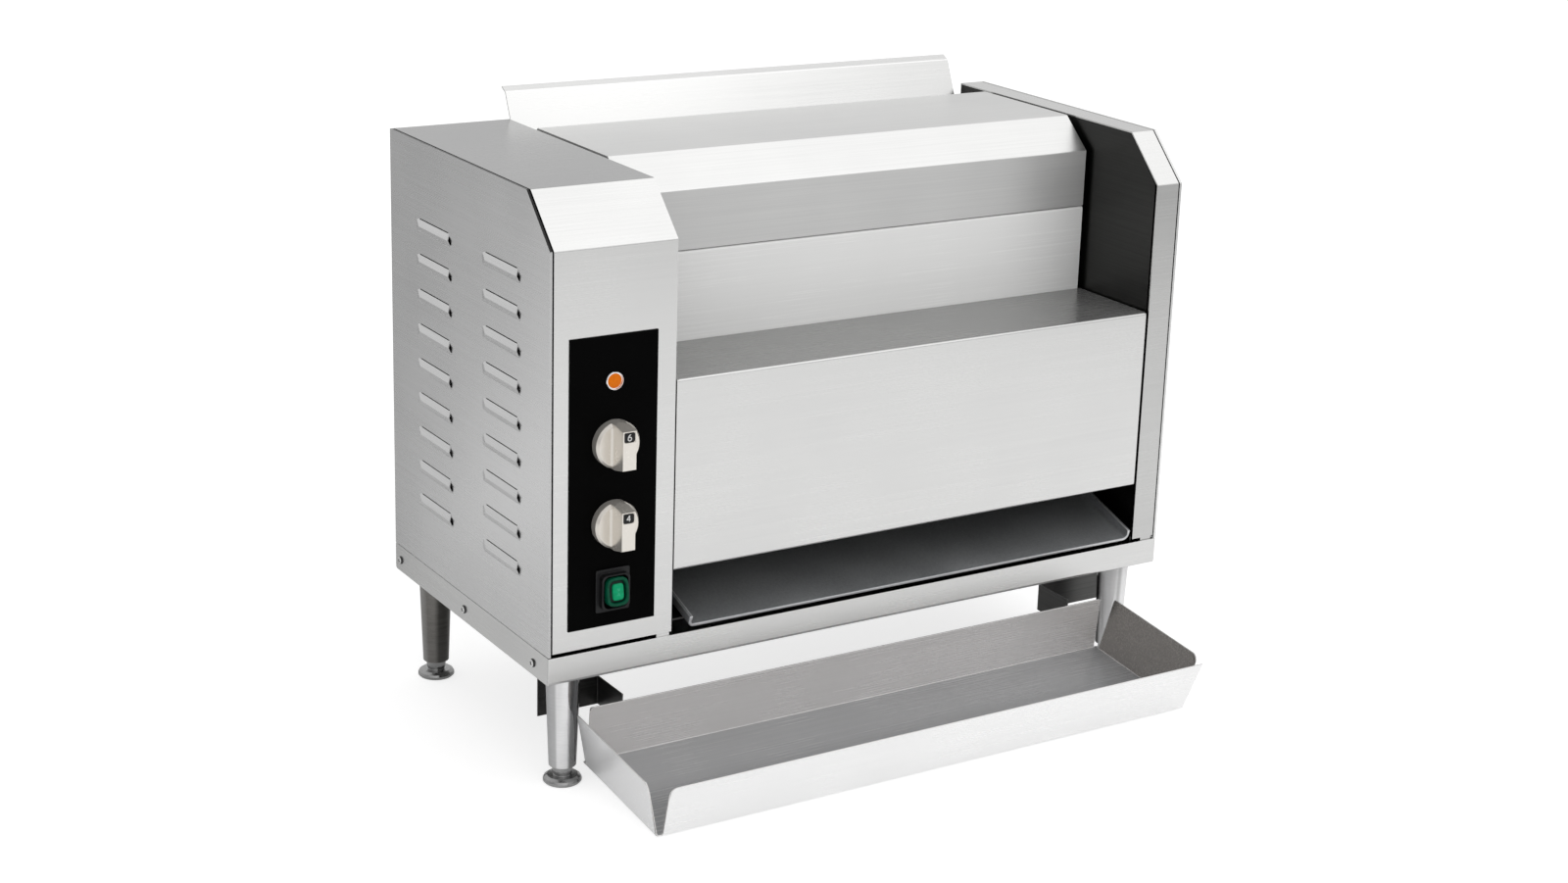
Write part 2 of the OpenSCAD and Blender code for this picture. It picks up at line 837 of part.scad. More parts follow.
module belt_loop(r) {
  translate([belt_y - r, drive_z]) square([2 * r, idler_z - drive_z]);
  for (z = [drive_z, idler_z]) translate([belt_y, z]) circle(r);
}

module conveyor_belt() color(black) along_x(wall_l + belt_end, wall_r - belt_end) difference() {
  union() {
    belt_loop(belt_out_r);
    for (z = [drive_z + rib_pitch / 2:rib_pitch:idler_z]) {
      translate([belt_y - belt_out_r - rib_h, z - rib_w / 2]) square([2 * (belt_out_r + rib_h), rib_w]);
    }
  }
  belt_loop(belt_in_r);
}

// The plate inside the belt that holds its toasting run up to the bun.
module belt_bed() color(steel) {
  face = belt_y + belt_in_r;
  z0 = drive_z + roller_r + bed_gap;
  z1 = idler_z - roller_r - bed_gap;
  sheet_x([[face - bed_hem, z0], [face, z0], [face, z1], [face - bed_hem, z1]], wall_l, wall_r, 1);
}

module roller(z) color(slate) difference() {
  rod_x(wall_l + belt_end - 1, wall_r - belt_end + 1, belt_y, z, roller_r);
  rod_x(wall_l, wall_r, belt_y, z, shaft_r + touch);
}

module drive_roller() roller(drive_z);

module idler_roller() roller(idler_z);

shaft_end = wall_r + sheet + shaft_out;
coupling_gap = 10;
coupling_len = 29;
coupling_t = 5;
coupling_r = wall_l - coupling_gap;
coupling_l = coupling_r - coupling_len;
stub_len = 9;

module drive_shaft() color(chrome) {
  rod_x(coupling_l + coupling_len / 2, shaft_end, belt_y, drive_z, shaft_r);
}

module idler_shaft() color(chrome) {
  rod_x(wall_l - sheet - shaft_out, shaft_end, belt_y, idler_z, shaft_r);
}

module drive_coupling() color(slate) {
  difference() {
    rod_x(coupling_l, coupling_r, belt_y, drive_z, shaft_r + coupling_t);
    rod_x(coupling_l + coupling_len / 2, coupling_r + 1, belt_y, drive_z, shaft_r + touch);
  }
  rod_x(coupling_l - stub_len, coupling_l + eps, belt_y, drive_z, shaft_r - 1);
}

module bushing(z) difference() {
  union() {
    rod_x(wall_l - sheet - collar_w, wall_l + collar_w, belt_y, z, shaft_r + collar_t);
    rod_x(wall_l, wall_l + collar_w, belt_y, z, shaft_r + 2 * collar_t);
  }
  rod_x(wall_l - 4 * collar_w, wall_l + 4 * collar_w, belt_y, z, shaft_r + run_fit);
}

module shaft_bushings() color([0.7, 0.55, 0.3]) {
  for (z = [drive_z, idler_z]) {
    bushing(z);
    other_wall() bushing(z);
  }
}

// A right-angle gearmotor on four posts, in line with the drive shaft.
module gear_motor() color(slate) difference() {
  gear_r = coupling_l - gear_gap;
  gear_l = gear_r - gear_w;
  top = drive_z + gear_high;
  union() {
    box([gear_l, belt_y - gear_d / 2, drive_z - gear_low], [gear_r, belt_y + gear_d / 2, top]);
    translate([(gear_l + gear_r) / 2, belt_y, top - eps]) cylinder(h = motor_len, r = motor_r);
    for (y = [-post_at, post_at], z = [-post_at, post_at]) {
      rod_x(gear_r - eps, wall_l - sheet, belt_y + y, drive_z + z, post_r);
    }
  }
  rod_x(coupling_l - stub_len - 1, gear_r + 1, belt_y, drive_z, shaft_r - 1 + run_fit);
}

module thermostat() color(slate) difference() {
  union() {
    translate([panel_x, 0, knob_z1]) along_y(sheet, sheet + thermo_d) square(thermo_w, center = true);
    rod_y(sheet, sheet + thermo_len, panel_x, knob_z1, thermo_r);
  }
  rod_y(0, sheet + spindle_in, panel_x, knob_z1, spindle_r + run_fit);
}

module speed_controller() color([0.12, 0.3, 0.18]) difference() {
  translate([panel_x, 0, knob_z2]) {
    along_y(sheet, sheet + speed_d) square([speed_w, speed_h], center = true);
  }
  rod_y(0, sheet + spindle_in, panel_x, knob_z2, spindle_r + run_fit);
}

module terminal_block() color([0.9, 0.88, 0.8]) difference() {
  far = body_d - terminal_back;
  top = sheet + terminal_h;
  box([terminal_x, far - terminal_d, sheet], [terminal_x + terminal_w, far, top]);
  for (x = [terminal_pitch / 2:terminal_pitch:terminal_w]) {
    translate([terminal_x + x, far - terminal_d / 2, top - terminal_deep]) {
      cylinder(h = 2 * terminal_deep, r = terminal_hole);
    }
  }
}

module cable_gland() color(black) difference() {
  union() {
    rod_y(rear_in - gland_in, body_d + gland_out, gland_x, gland_z, gland_r);
    rod_y(body_d, body_d + collar_out, gland_x, gland_z, gland_r + gland_nut);
    rod_y(rear_in - collar_in, rear_in, gland_x, gland_z, gland_r + gland_nut);
  }
  rod_y(rear_in - 2 * gland_in, body_d + 2 * gland_out, gland_x, gland_z, cable_r);
}

// An outline turned about the lamp's axis, with +Z of the outline towards the front.
module lamp_turned() translate([panel_x, 0, lamp_z]) rotate([90, 0, 0]) rotate_extrude() children();

sleeve_r = lamp_r - ring_w;
dome_r = sleeve_r - sleeve_t;
ring_in = plate_t + ring_t / 2;

module indicator_bezel() color(chrome) lamp_turned() polygon([
  [dome_r, -sleeve_in], [sleeve_r, -sleeve_in], [sleeve_r, plate_t], [lamp_r, plate_t],
  [lamp_r, plate_t + 0.65 * ring_t], [lamp_r - 0.4 * ring_w, plate_t + ring_t],
  [lamp_r - 0.8 * ring_w, plate_t + ring_t], [lamp_r - 1.1 * ring_w, ring_in], [dome_r, ring_in]
]);

module indicator_lens() color([0.95, 0.5, 0.05]) lamp_turned() polygon(concat(
  [[0, plate_t - lens_in], [dome_r, plate_t - lens_in]],
  [for (a = [0:10:90]) [dome_r * cos(a), ring_in + dome_h * sin(a)]]));

// A knob along +Z from its back, with a straight grip across a round skirt and a spindle behind.
module knob() difference() {
  stem = spindle_in - 2 + knob_gap + plate_t + sheet;
  grip_top = knob_r - grip_slant;
  union() {
    rotate_extrude() polygon([
      [0, 0], [knob_r, 0], [knob_r, skirt_h - skirt_bevel],
      [knob_r - 0.75 * skirt_bevel, skirt_h], [0, skirt_h]
    ]);
    intersection() {
      cylinder(h = knob_h, r = knob_r);
      along_x(-grip_w / 2, grip_w / 2) polygon([
        [-knob_r, 0], [knob_r, 0], [knob_r, skirt_h],
        [grip_top, knob_h], [grip_under - knob_r, knob_h], [-knob_r, skirt_h]
      ]);
    }
    intersection() {
      cylinder(h = knob_h, r = knob_r - skirt_bevel);
      along_y(-knob_r, knob_r) for (side = [-1, 1]) difference() {
        corner_x = side * (grip_w + grip_fillet) / 2;
        translate([corner_x, skirt_h + grip_fillet / 2]) square(grip_fillet + 2 * eps, center = true);
        translate([side * (grip_w / 2 + grip_fillet), skirt_h + grip_fillet]) circle(grip_fillet);
      }
    }
    translate([0, 0, -stem]) cylinder(h = stem + 2, r = spindle_r);
  }
  translate([0, grip_top - mark_top - mark_len, knob_h - mark_deep]) {
    box([mark_edge - grip_w / 2, 0, 0], [grip_w / 2 - mark_edge, mark_len, 2 * mark_deep]);
  }
}

module knob_at(z) color([0.78, 0.74, 0.68]) translate([panel_x, knob_back, z]) rotate([90, 0, 0]) knob();

module temperature_knob() knob_at(knob_z1);

module speed_knob() knob_at(knob_z2);

// The rocker's frame, with the switch body behind the fascia.
module rocker_frame() color(black) difference() {
  well_w = rocker_w + 2 * well_side;
  well_h = rocker_h + 2 * well_end;
  face = -plate_t - bezel_t;
  pin_x = rocker_w / 2 + pin_len + run_fit;
  case = [rocker_w, rocker_h] + [2, 2] * (rim_w - edge_gap);
  translate([panel_x, 0, switch_z]) {
    along_y(face, -plate_t) rounded_square(switch_w, switch_h, bezel_r);
    along_y(face - rim_t, face + eps) rounded_square(rocker_w + 2 * rim_w, rocker_h + 2 * rim_w, rim_r);
    along_y(-plate_t - eps, switch_d) square(case, center = true);
  }
  translate([panel_x, 0, switch_z]) {
    along_y(face - 2 * rim_t, well_in) rounded_square(well_w, well_h, well_r);
  }
  rod_x(panel_x - pin_x, panel_x + pin_x, rocker_y, switch_z, pivot_r + run_fit);
}

// The rocker is pressed in at its top end.
module rocker_button() color([0, 0.55, 0.35]) {
  half = rocker_h / 2 - button_gap;
  pin_x = rocker_w / 2 + pin_len;
  translate([panel_x, rocker_y, switch_z]) rotate([-rocker_throw / 2, 0, 0]) {
    intersection() {
      along_x(-rocker_w / 2, rocker_w / 2) polygon(concat(
        [[button_in, -half / 2], [-button_side, -half], [-button_out, -half + button_bevel]],
        [for (k = [-4:4]) [-button_crest + button_dip * cos(20 * k), k * half / 5]],
        [[-button_out, half - button_bevel], [-button_side, half], [button_in, half / 2]]));
      along_y(-2 * button_out, 2 * button_in) rounded_square(rocker_w, 2 * half, button_r);
    }
    rod_x(-pin_x, pin_x, 0, 0, pivot_r);
  }
}

// The chute takes buns from under the hot plate to the landing pan.
module bun_chute() color(coated) {
  z1 = slope_z(chute_back, chute_front, chute_low);
  sheet_x([[chute_front, chute_low], [chute_back, z1], [chute_back, z1 + chute_rise]], wall_l, wall_r, 1);
  for (x = [wall_l, wall_r - sheet]) {
    along_x(x, x + sheet) polygon([
      [chute_front, chute_low + sheet / 2], [chute_back - fold_r, z1 - fold_r * chute_tan + sheet / 2],
      [chute_back - fold_r, z1 + chute_rise], [chute_front, chute_low + chute_side]
    ]);
  }
}

// Outline of a channel that is open upwards, with round lower corners.
module channel(x0, x1, low, high, r) {
  translate([x0 + r, low]) square([x1 - x0 - 2 * r, high - low]);
  translate([x0, low + r]) square([x1 - x0, high - low - r]);
  for (x = [x0 + r, x1 - r]) translate([x, low + r]) circle(r);
}

// The landing pan slopes down to its open front end.
module landing_pan() color(slate) translate([0, pan_front, pan_low]) rotate([chute_slope, 0, 0]) {
  along_y(0, pan_d / cos(chute_slope)) difference() {
    channel(pan_l, pan_r, 0, pan_side, pan_bend);
    channel(pan_l + pan_t, pan_r - pan_t, pan_t, 2 * pan_side, pan_bend - pan_t);
  }
}

module pan_runner() {
  y0 = pan_front + runner_front;
  y1 = pan_back - runner_back;
  z0 = slope_z(y0, pan_front, pan_low);
  z1 = slope_z(y1, pan_front, pan_low);
  along_x(wall_l, wall_l + runner_w) {
    polygon([[y0, z0], [y1, z1], [y1, z1 - runner_t], [y0, z0 - runner_t]]);
  }
  along_x(wall_l, wall_l + runner_t) {
    polygon([[y0, z0], [y1, z1], [y1, z1 - runner_h], [y0, z0 - runner_low]]);
  }
}

module pan_runners() color(steel) {
  pan_runner();
  other_wall() pan_runner();
}

// A wall of the tray, standing on the x axis, with a radius for each upper corner.
module tray_wall(w, h, r0, r1) along_y(0, sheet) {
  translate([r0, 0]) square([w - r0 - r1, h]);
  square([w / 2, h - r0]);
  translate([w / 2, 0]) square([w / 2, h - r1]);
  translate([r0, h - r0]) circle(r0);
  translate([w - r1, h - r1]) circle(r1);
}

// The tray is a sheet folded up on four sides, with open corners.
module catch_tray() color(steel) translate([tray_inset, tray_front, tray_z]) rotate([tray_tilt, 0, 0]) {
  side_len = tray_d - leg_top_r + 6 * sheet;
  rear_in_x = sheet + tray_notch;
  flare = tray_front_h * tan(tray_lean) - sheet;
  cube([tray_w, tray_d, sheet]);
  lean_wall(tray_front_in, 0, 0, tray_front_lean) {
    tray_wall(tray_w - tray_front_in, tray_front_h, tray_corner_r, sheet);
    along_y(0, sheet) translate([tray_w - tray_front_in, 0]) {
      polygon([[-rear_in_x, 0], [0, 0], [flare, tray_front_h], [-rear_in_x, tray_front_h]]);
    }
  }
  lean_wall(tray_w - rear_in_x, tray_d, 180, 0) {
    tray_wall(tray_w - 2 * rear_in_x, tray_h, tray_rear_r, tray_rear_r);
  }
  lean_wall(0, side_len + tray_notch, -90, tray_lean) {
    tray_wall(side_len, tray_h, tray_rear_r, tray_corner_r);
  }
  lean_wall(tray_w, tray_notch, 90, tray_lean) {
    tray_wall(side_len, tray_h, tray_corner_r, tray_rear_r);
  }
}

module lean_wall(x, y, turn, lean) translate([x, y, 0]) rotate([0, 0, turn]) {
  rotate([lean, 0, 0]) children();
}

// A bent bracket under the base: a wing behind the leg, a web to the tray and a foot under its floor.
module tray_carrier(hanger_l) {
  tilt_tan = tan(tray_tilt);
  floor_z = tray_z + (tray_back - tray_front) * tilt_tan - touch;
  web_front = tray_back + tray_clear;
  web_top = web_front - tray_h * sin(tray_tilt);
  foot_front = tray_back - carrier_foot_d;
  low_z = floor_z - (tray_back - foot_front) * tilt_tan;
  back_z = floor_z + (web_front - tray_back) * tilt_tan;
  wing_low = carrier_top - carrier_h;
  web_back = web_front + carrier_web;
  web_end = carrier_y + sheet / 2;
  box([hanger_l, carrier_y, wing_low], [carrier_x + sheet, carrier_y + sheet, carrier_top]);
  box([hanger_l, carrier_y, carrier_top - eps], [hanger_l + hanger_w, carrier_y + sheet, 0]);
  box([hanger_l, carrier_y, -sheet], [hanger_l + hanger_w, carrier_y + hanger_d, 0]);
  along_x(carrier_x, carrier_x + sheet) polygon([
    [web_end, carrier_top], [web_top, carrier_top], [web_front, back_z], [foot_front, low_z],
    [foot_front, low_z - carrier_edge], [web_back, back_z - carrier_edge],
    [web_back, wing_low], [web_end, wing_low]
  ]);
  along_x(carrier_x, carrier_x + carrier_foot_w) polygon([
    [web_front, back_z], [foot_front, low_z], [foot_front, low_z - sheet], [web_front, back_z - sheet]
  ]);
}

module tray_carrier_left() color(slate) tray_carrier(hanger_left);

module tray_carrier_right() color(slate) other_side() tray_carrier(hanger_right);

place() base_pan();
place() leg_front_left();
place() leg_front_right();
place() leg_rear_left();
place() leg_rear_right();
place() foot_front_left();
place() foot_front_right();
place() foot_rear_left();
place() foot_rear_right();
place() leg_nuts();
place() left_side_panel();
place() left_fascia();
place() left_inner_wall();
place() right_fascia();
place() right_side_panel();
place() right_inner_wall();
place() rear_panel();
place() base_screws();
place() rear_screws();
place() top_cover();
place() cover_rails();
place() upper_front_panel();
place() lower_front_cover();
place() front_ledges();
place() bun_feeder();
place() feeder_ledge();
place() hot_plate();
place() heater_tubes();
place() heater_clamps();
place() insulation_board();
place() plate_brackets();
place() conveyor_belt();
place() belt_bed();
place() drive_roller();
place() drive_shaft();
place() drive_coupling();
place() idler_roller();
place() idler_shaft();
place() shaft_bushings();
place() gear_motor();
place() thermostat();
place() speed_controller();
place() terminal_block();
place() cable_gland();
place() control_plate();
place() indicator_bezel();
place() indicator_lens();
place() temperature_knob();
place() speed_knob();
place() rocker_frame();
place() rocker_button();
place() bun_chute();
place() landing_pan();
place() pan_runners();
place() catch_tray();
place() tray_carrier_left();
place() tray_carrier_right();
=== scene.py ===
import json
import math
import bpy
import numpy as np
from mathutils import Matrix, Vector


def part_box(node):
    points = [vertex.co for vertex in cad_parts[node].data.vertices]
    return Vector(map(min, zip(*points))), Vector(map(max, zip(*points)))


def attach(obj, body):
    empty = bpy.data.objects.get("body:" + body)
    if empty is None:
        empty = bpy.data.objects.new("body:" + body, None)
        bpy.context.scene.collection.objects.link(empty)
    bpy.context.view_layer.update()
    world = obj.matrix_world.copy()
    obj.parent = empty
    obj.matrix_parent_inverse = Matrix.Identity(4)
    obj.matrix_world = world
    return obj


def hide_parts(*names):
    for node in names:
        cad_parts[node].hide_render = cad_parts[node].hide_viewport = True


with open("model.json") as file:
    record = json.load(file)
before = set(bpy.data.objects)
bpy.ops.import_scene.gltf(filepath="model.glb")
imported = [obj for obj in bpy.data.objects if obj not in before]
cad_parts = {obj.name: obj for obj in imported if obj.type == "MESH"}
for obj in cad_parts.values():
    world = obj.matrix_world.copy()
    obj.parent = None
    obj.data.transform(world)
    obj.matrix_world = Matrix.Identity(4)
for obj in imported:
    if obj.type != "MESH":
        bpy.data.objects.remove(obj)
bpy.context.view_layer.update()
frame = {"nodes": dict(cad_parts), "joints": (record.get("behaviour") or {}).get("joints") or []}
nodes = frame["nodes"]
print("frame loaded,", len(nodes), "nodes")

bpy.context.scene.view_settings.view_transform = "Standard"


# turns an object so that its own axes are right, up and away, and puts it in its place
def setPose(thing, right, up, away, place):
    pose = np.eye(4)
    pose[:3] = np.stack([right, up, away, place], -1)
    thing.matrix_world = Matrix(pose.tolist())


# camera of the photograph: turn, dip and roll in radians, place in metres, lens and centre in pixels
cameraSet = {
    "turn": 0.56977, "dip": 0.29274, "roll": -0.03434,
    "place": (-1.37941, -2.14294, 1.09335),
    "focal": 2629.4, "centre": (825.8, 399.6), "image": (1600, 901), "sensor": 36.0,
    "nearest": 0.05, "farthest": 100.0,
}


def makeCamera(look):
    turn, dip, roll = look["turn"], look["dip"], look["roll"]
    ahead = np.array([math.sin(turn) * math.cos(dip), math.cos(turn) * math.cos(dip), -math.sin(dip)])
    flatRight = np.array([math.cos(turn), -math.sin(turn), 0.0])
    flatDown = np.cross(ahead, flatRight)
    right = math.cos(roll) * flatRight + math.sin(roll) * flatDown
    down = math.cos(roll) * flatDown - math.sin(roll) * flatRight
    width, height = look["image"]
    data = bpy.data.cameras.new("photoCamera")
    data.sensor_fit = "HORIZONTAL"
    data.sensor_width = look["sensor"]
    data.lens = look["focal"] * look["sensor"] / width
    data.shift_x = (width / 2 - look["centre"][0]) / width
    data.shift_y = (look["centre"][1] - height / 2) / width
    data.clip_start, data.clip_end = look["nearest"], look["farthest"]
    camera = bpy.data.objects.new("photoCamera", data)
    setPose(camera, right, -down, -ahead, look["place"])
    bpy.context.scene.collection.objects.link(camera)
    bpy.context.scene.camera = camera


makeCamera(cameraSet)
print("camera set")


def addNode(tree, kind, sockets=None, **settings):
    node = tree.nodes.new(kind)
    for key, value in settings.items():
        setattr(node, key, value)
    for key, value in (sockets or {}).items():
        node.inputs[key].default_value = value
    return node


# sets a socket to a number, or links it to the output of another node
def feed(tree, socket, value):
    if isinstance(value, float):
        socket.default_value = value
    else:
        tree.links.new(value, socket)


def combine(tree, operation, first, second):
    node = addNode(tree, "ShaderNodeMath", operation=operation)
    feed(tree, node.inputs[0], first)
    feed(tree, node.inputs[1], second)
    return node.outputs[0]


# a share of 0 gives the first value, and 1 the second
def mixValues(tree, first, second, share):
    node = addNode(tree, "ShaderNodeMix", data_type="FLOAT")
    feed(tree, node.inputs[0], share)
    feed(tree, node.inputs[2], first)
    feed(tree, node.inputs[3], second)
    return node.outputs[0]


def mixColours(tree, first, second, share):
    node = addNode(tree, "ShaderNodeMix", data_type="RGBA")
    tree.links.new(share, node.inputs[0])
    tree.links.new(first, node.inputs[6])
    tree.links.new(second, node.inputs[7])
    return node.outputs[2]


# soft noise on the piece's own coordinates, stretched by a scale on each axis
def grainNoise(tree, stretch, detail, coarse):
    place = addNode(tree, "ShaderNodeTexCoord")
    scale = addNode(tree, "ShaderNodeMapping", {"Scale": stretch})
    noise = addNode(tree, "ShaderNodeTexNoise", {"Scale": 1.0, "Detail": detail, "Roughness": coarse})
    tree.links.new(place.outputs["Object"], scale.inputs["Vector"])
    tree.links.new(scale.outputs["Vector"], noise.inputs["Vector"])
    return noise.outputs["Fac"]


# goes evenly from low to high while the value goes from start to end: a noise mostly keeps to 0.3 to 0.7
def spread(tree, value, low, high, start=0.3, end=0.7):
    limits = {"From Min": start, "From Max": end, "To Min": low, "To Max": high}
    node = addNode(tree, "ShaderNodeMapRange", limits)
    tree.links.new(value, node.inputs["Value"])
    return node.outputs["Result"]


def colourRamp(tree, value, dark, light, start=0.3, end=0.7):
    node = addNode(tree, "ShaderNodeValToRGB")
    low, high = node.color_ramp.elements
    low.position, high.position = start, end
    low.color, high.color = (*dark, 1.0), (*light, 1.0)
    tree.links.new(value, node.inputs["Fac"])
    return node.outputs["Color"]


# share of faces that look one way: for each axis it goes from 0 to 1 between two values
# of the normal, and the shares of all axes multiply
def facingShare(tree, ways):
    place = addNode(tree, "ShaderNodeTexCoord")
    split = addNode(tree, "ShaderNodeSeparateXYZ")
    tree.links.new(place.outputs["Normal"], split.inputs[0])
    shares = [spread(tree, split.outputs[axis], 0.0, 1.0, start, end) for axis, start, end in ways]
    whole = shares[0]
    for share in shares[1:]:
        whole = combine(tree, "MULTIPLY", whole, share)
    return whole


# the noises of every finish, and how edges with a painted highlight or painted shade, and rounded edges, are
# found
grainSet = {
    "fineDetail": 4.0, "fineCoarse": 0.65, "cloudDetail": 2.0, "cloudCoarse": 0.5, "cloudShare": 0.4,
    "paintedEdgeSamples": 8, "paintedEdgeFull": 0.8, "paintedEdgeNone": 0.97, "roundSamples": 6,
}


# share of the painted edge tone along edges and creases, a painted highlight or painted shade: the rounded
# normal turns away from the face's own there
def edgeShare(tree, radius):
    rounded = addNode(tree, "ShaderNodeBevel", {"Radius": radius}, samples=grainSet["paintedEdgeSamples"])
    surface = addNode(tree, "ShaderNodeNewGeometry")
    angle = addNode(tree, "ShaderNodeVectorMath", operation="DOT_PRODUCT")
    tree.links.new(rounded.outputs["Normal"], angle.inputs[0])
    tree.links.new(surface.outputs["Normal"], angle.inputs[1])
    return spread(tree, angle.outputs["Value"], 1.0, 0.0, grainSet["paintedEdgeFull"], grainSet["paintedEdgeNone"])


# one finish: fine grain and broad clouds move the colour, the gloss and the relief
def makeFinish(name, look):
    finish = bpy.data.materials.new(name)
    finish.use_nodes = True
    tree = finish.node_tree
    shader = tree.nodes["Principled BSDF"]
    fine = grainNoise(tree, look["grain"], grainSet["fineDetail"], grainSet["fineCoarse"])
    cloud = grainNoise(tree, (look["cloud"],) * 3, grainSet["cloudDetail"], grainSet["cloudCoarse"])
    both = mixValues(tree, fine, cloud, grainSet["cloudShare"])
    colour = colourRamp(tree, both, look["dark"], look["light"])
    metal = look.get("metal", 0.0)
    # tones by facing and along edges are painted light and painted shade laid over the grain colour
    paintedTones = [(face, facingShare(tree, face["ways"])) for face in look.get("faces", [])]
    # edges and creases get a painted highlight or painted shade
    if "paintedEdge" in look:
        paintedTones.append((look["paintedEdge"], edgeShare(tree, look["paintedEdge"]["radius"])))
    for paintedTone, share in paintedTones:
        colour = mixColours(tree, colour, colourRamp(tree, both, paintedTone["dark"], paintedTone["light"]), share)
        if "metal" in paintedTone:
            metal = mixValues(tree, metal, paintedTone["metal"], share)
    tree.links.new(colour, shader.inputs["Base Color"])
    feed(tree, shader.inputs["Metallic"], metal)
    tree.links.new(spread(tree, both, *look["rough"]), shader.inputs["Roughness"])
    relief = addNode(tree, "ShaderNodeBump", {"Strength": look["bump"], "Distance": look["deep"]})
    tree.links.new(fine, relief.inputs["Height"])
    if "round" in look:
        samples = grainSet["roundSamples"]
        rounded = addNode(tree, "ShaderNodeBevel", {"Radius": look["round"]}, samples=samples)
        tree.links.new(rounded.outputs["Normal"], relief.inputs["Normal"])
    tree.links.new(relief.outputs["Normal"], shader.inputs["Normal"])
    shader.inputs["Specular IOR Level"].default_value = look.get("shine", 0.5)
    return finish


acrossGrain = (5.0, 620.0, 620.0)  # brush lines along x
sideGrain = (620.0, 5.0, 620.0)  # brush lines along y
railGrain = (5.0, 5.0, 620.0)  # level brush lines on every upright face
evenGrain = (900.0, 900.0, 900.0)
plasticGrain = (300.0, 300.0, 300.0)
turnedGrain = (60.0, 60.0, 500.0)  # fine rings round an upright axis

# "faces" paints light and shade as other tones on faces that look one way, and the edge tone paints a
# highlight or a shade along edges
steelLook = {
    "dark": (0.67, 0.67, 0.665), "light": (0.75, 0.75, 0.742), "rough": (0.22, 0.3),
    "grain": acrossGrain, "cloud": 9.0, "bump": 0.035, "deep": 0.0002, "metal": 1.0,
}

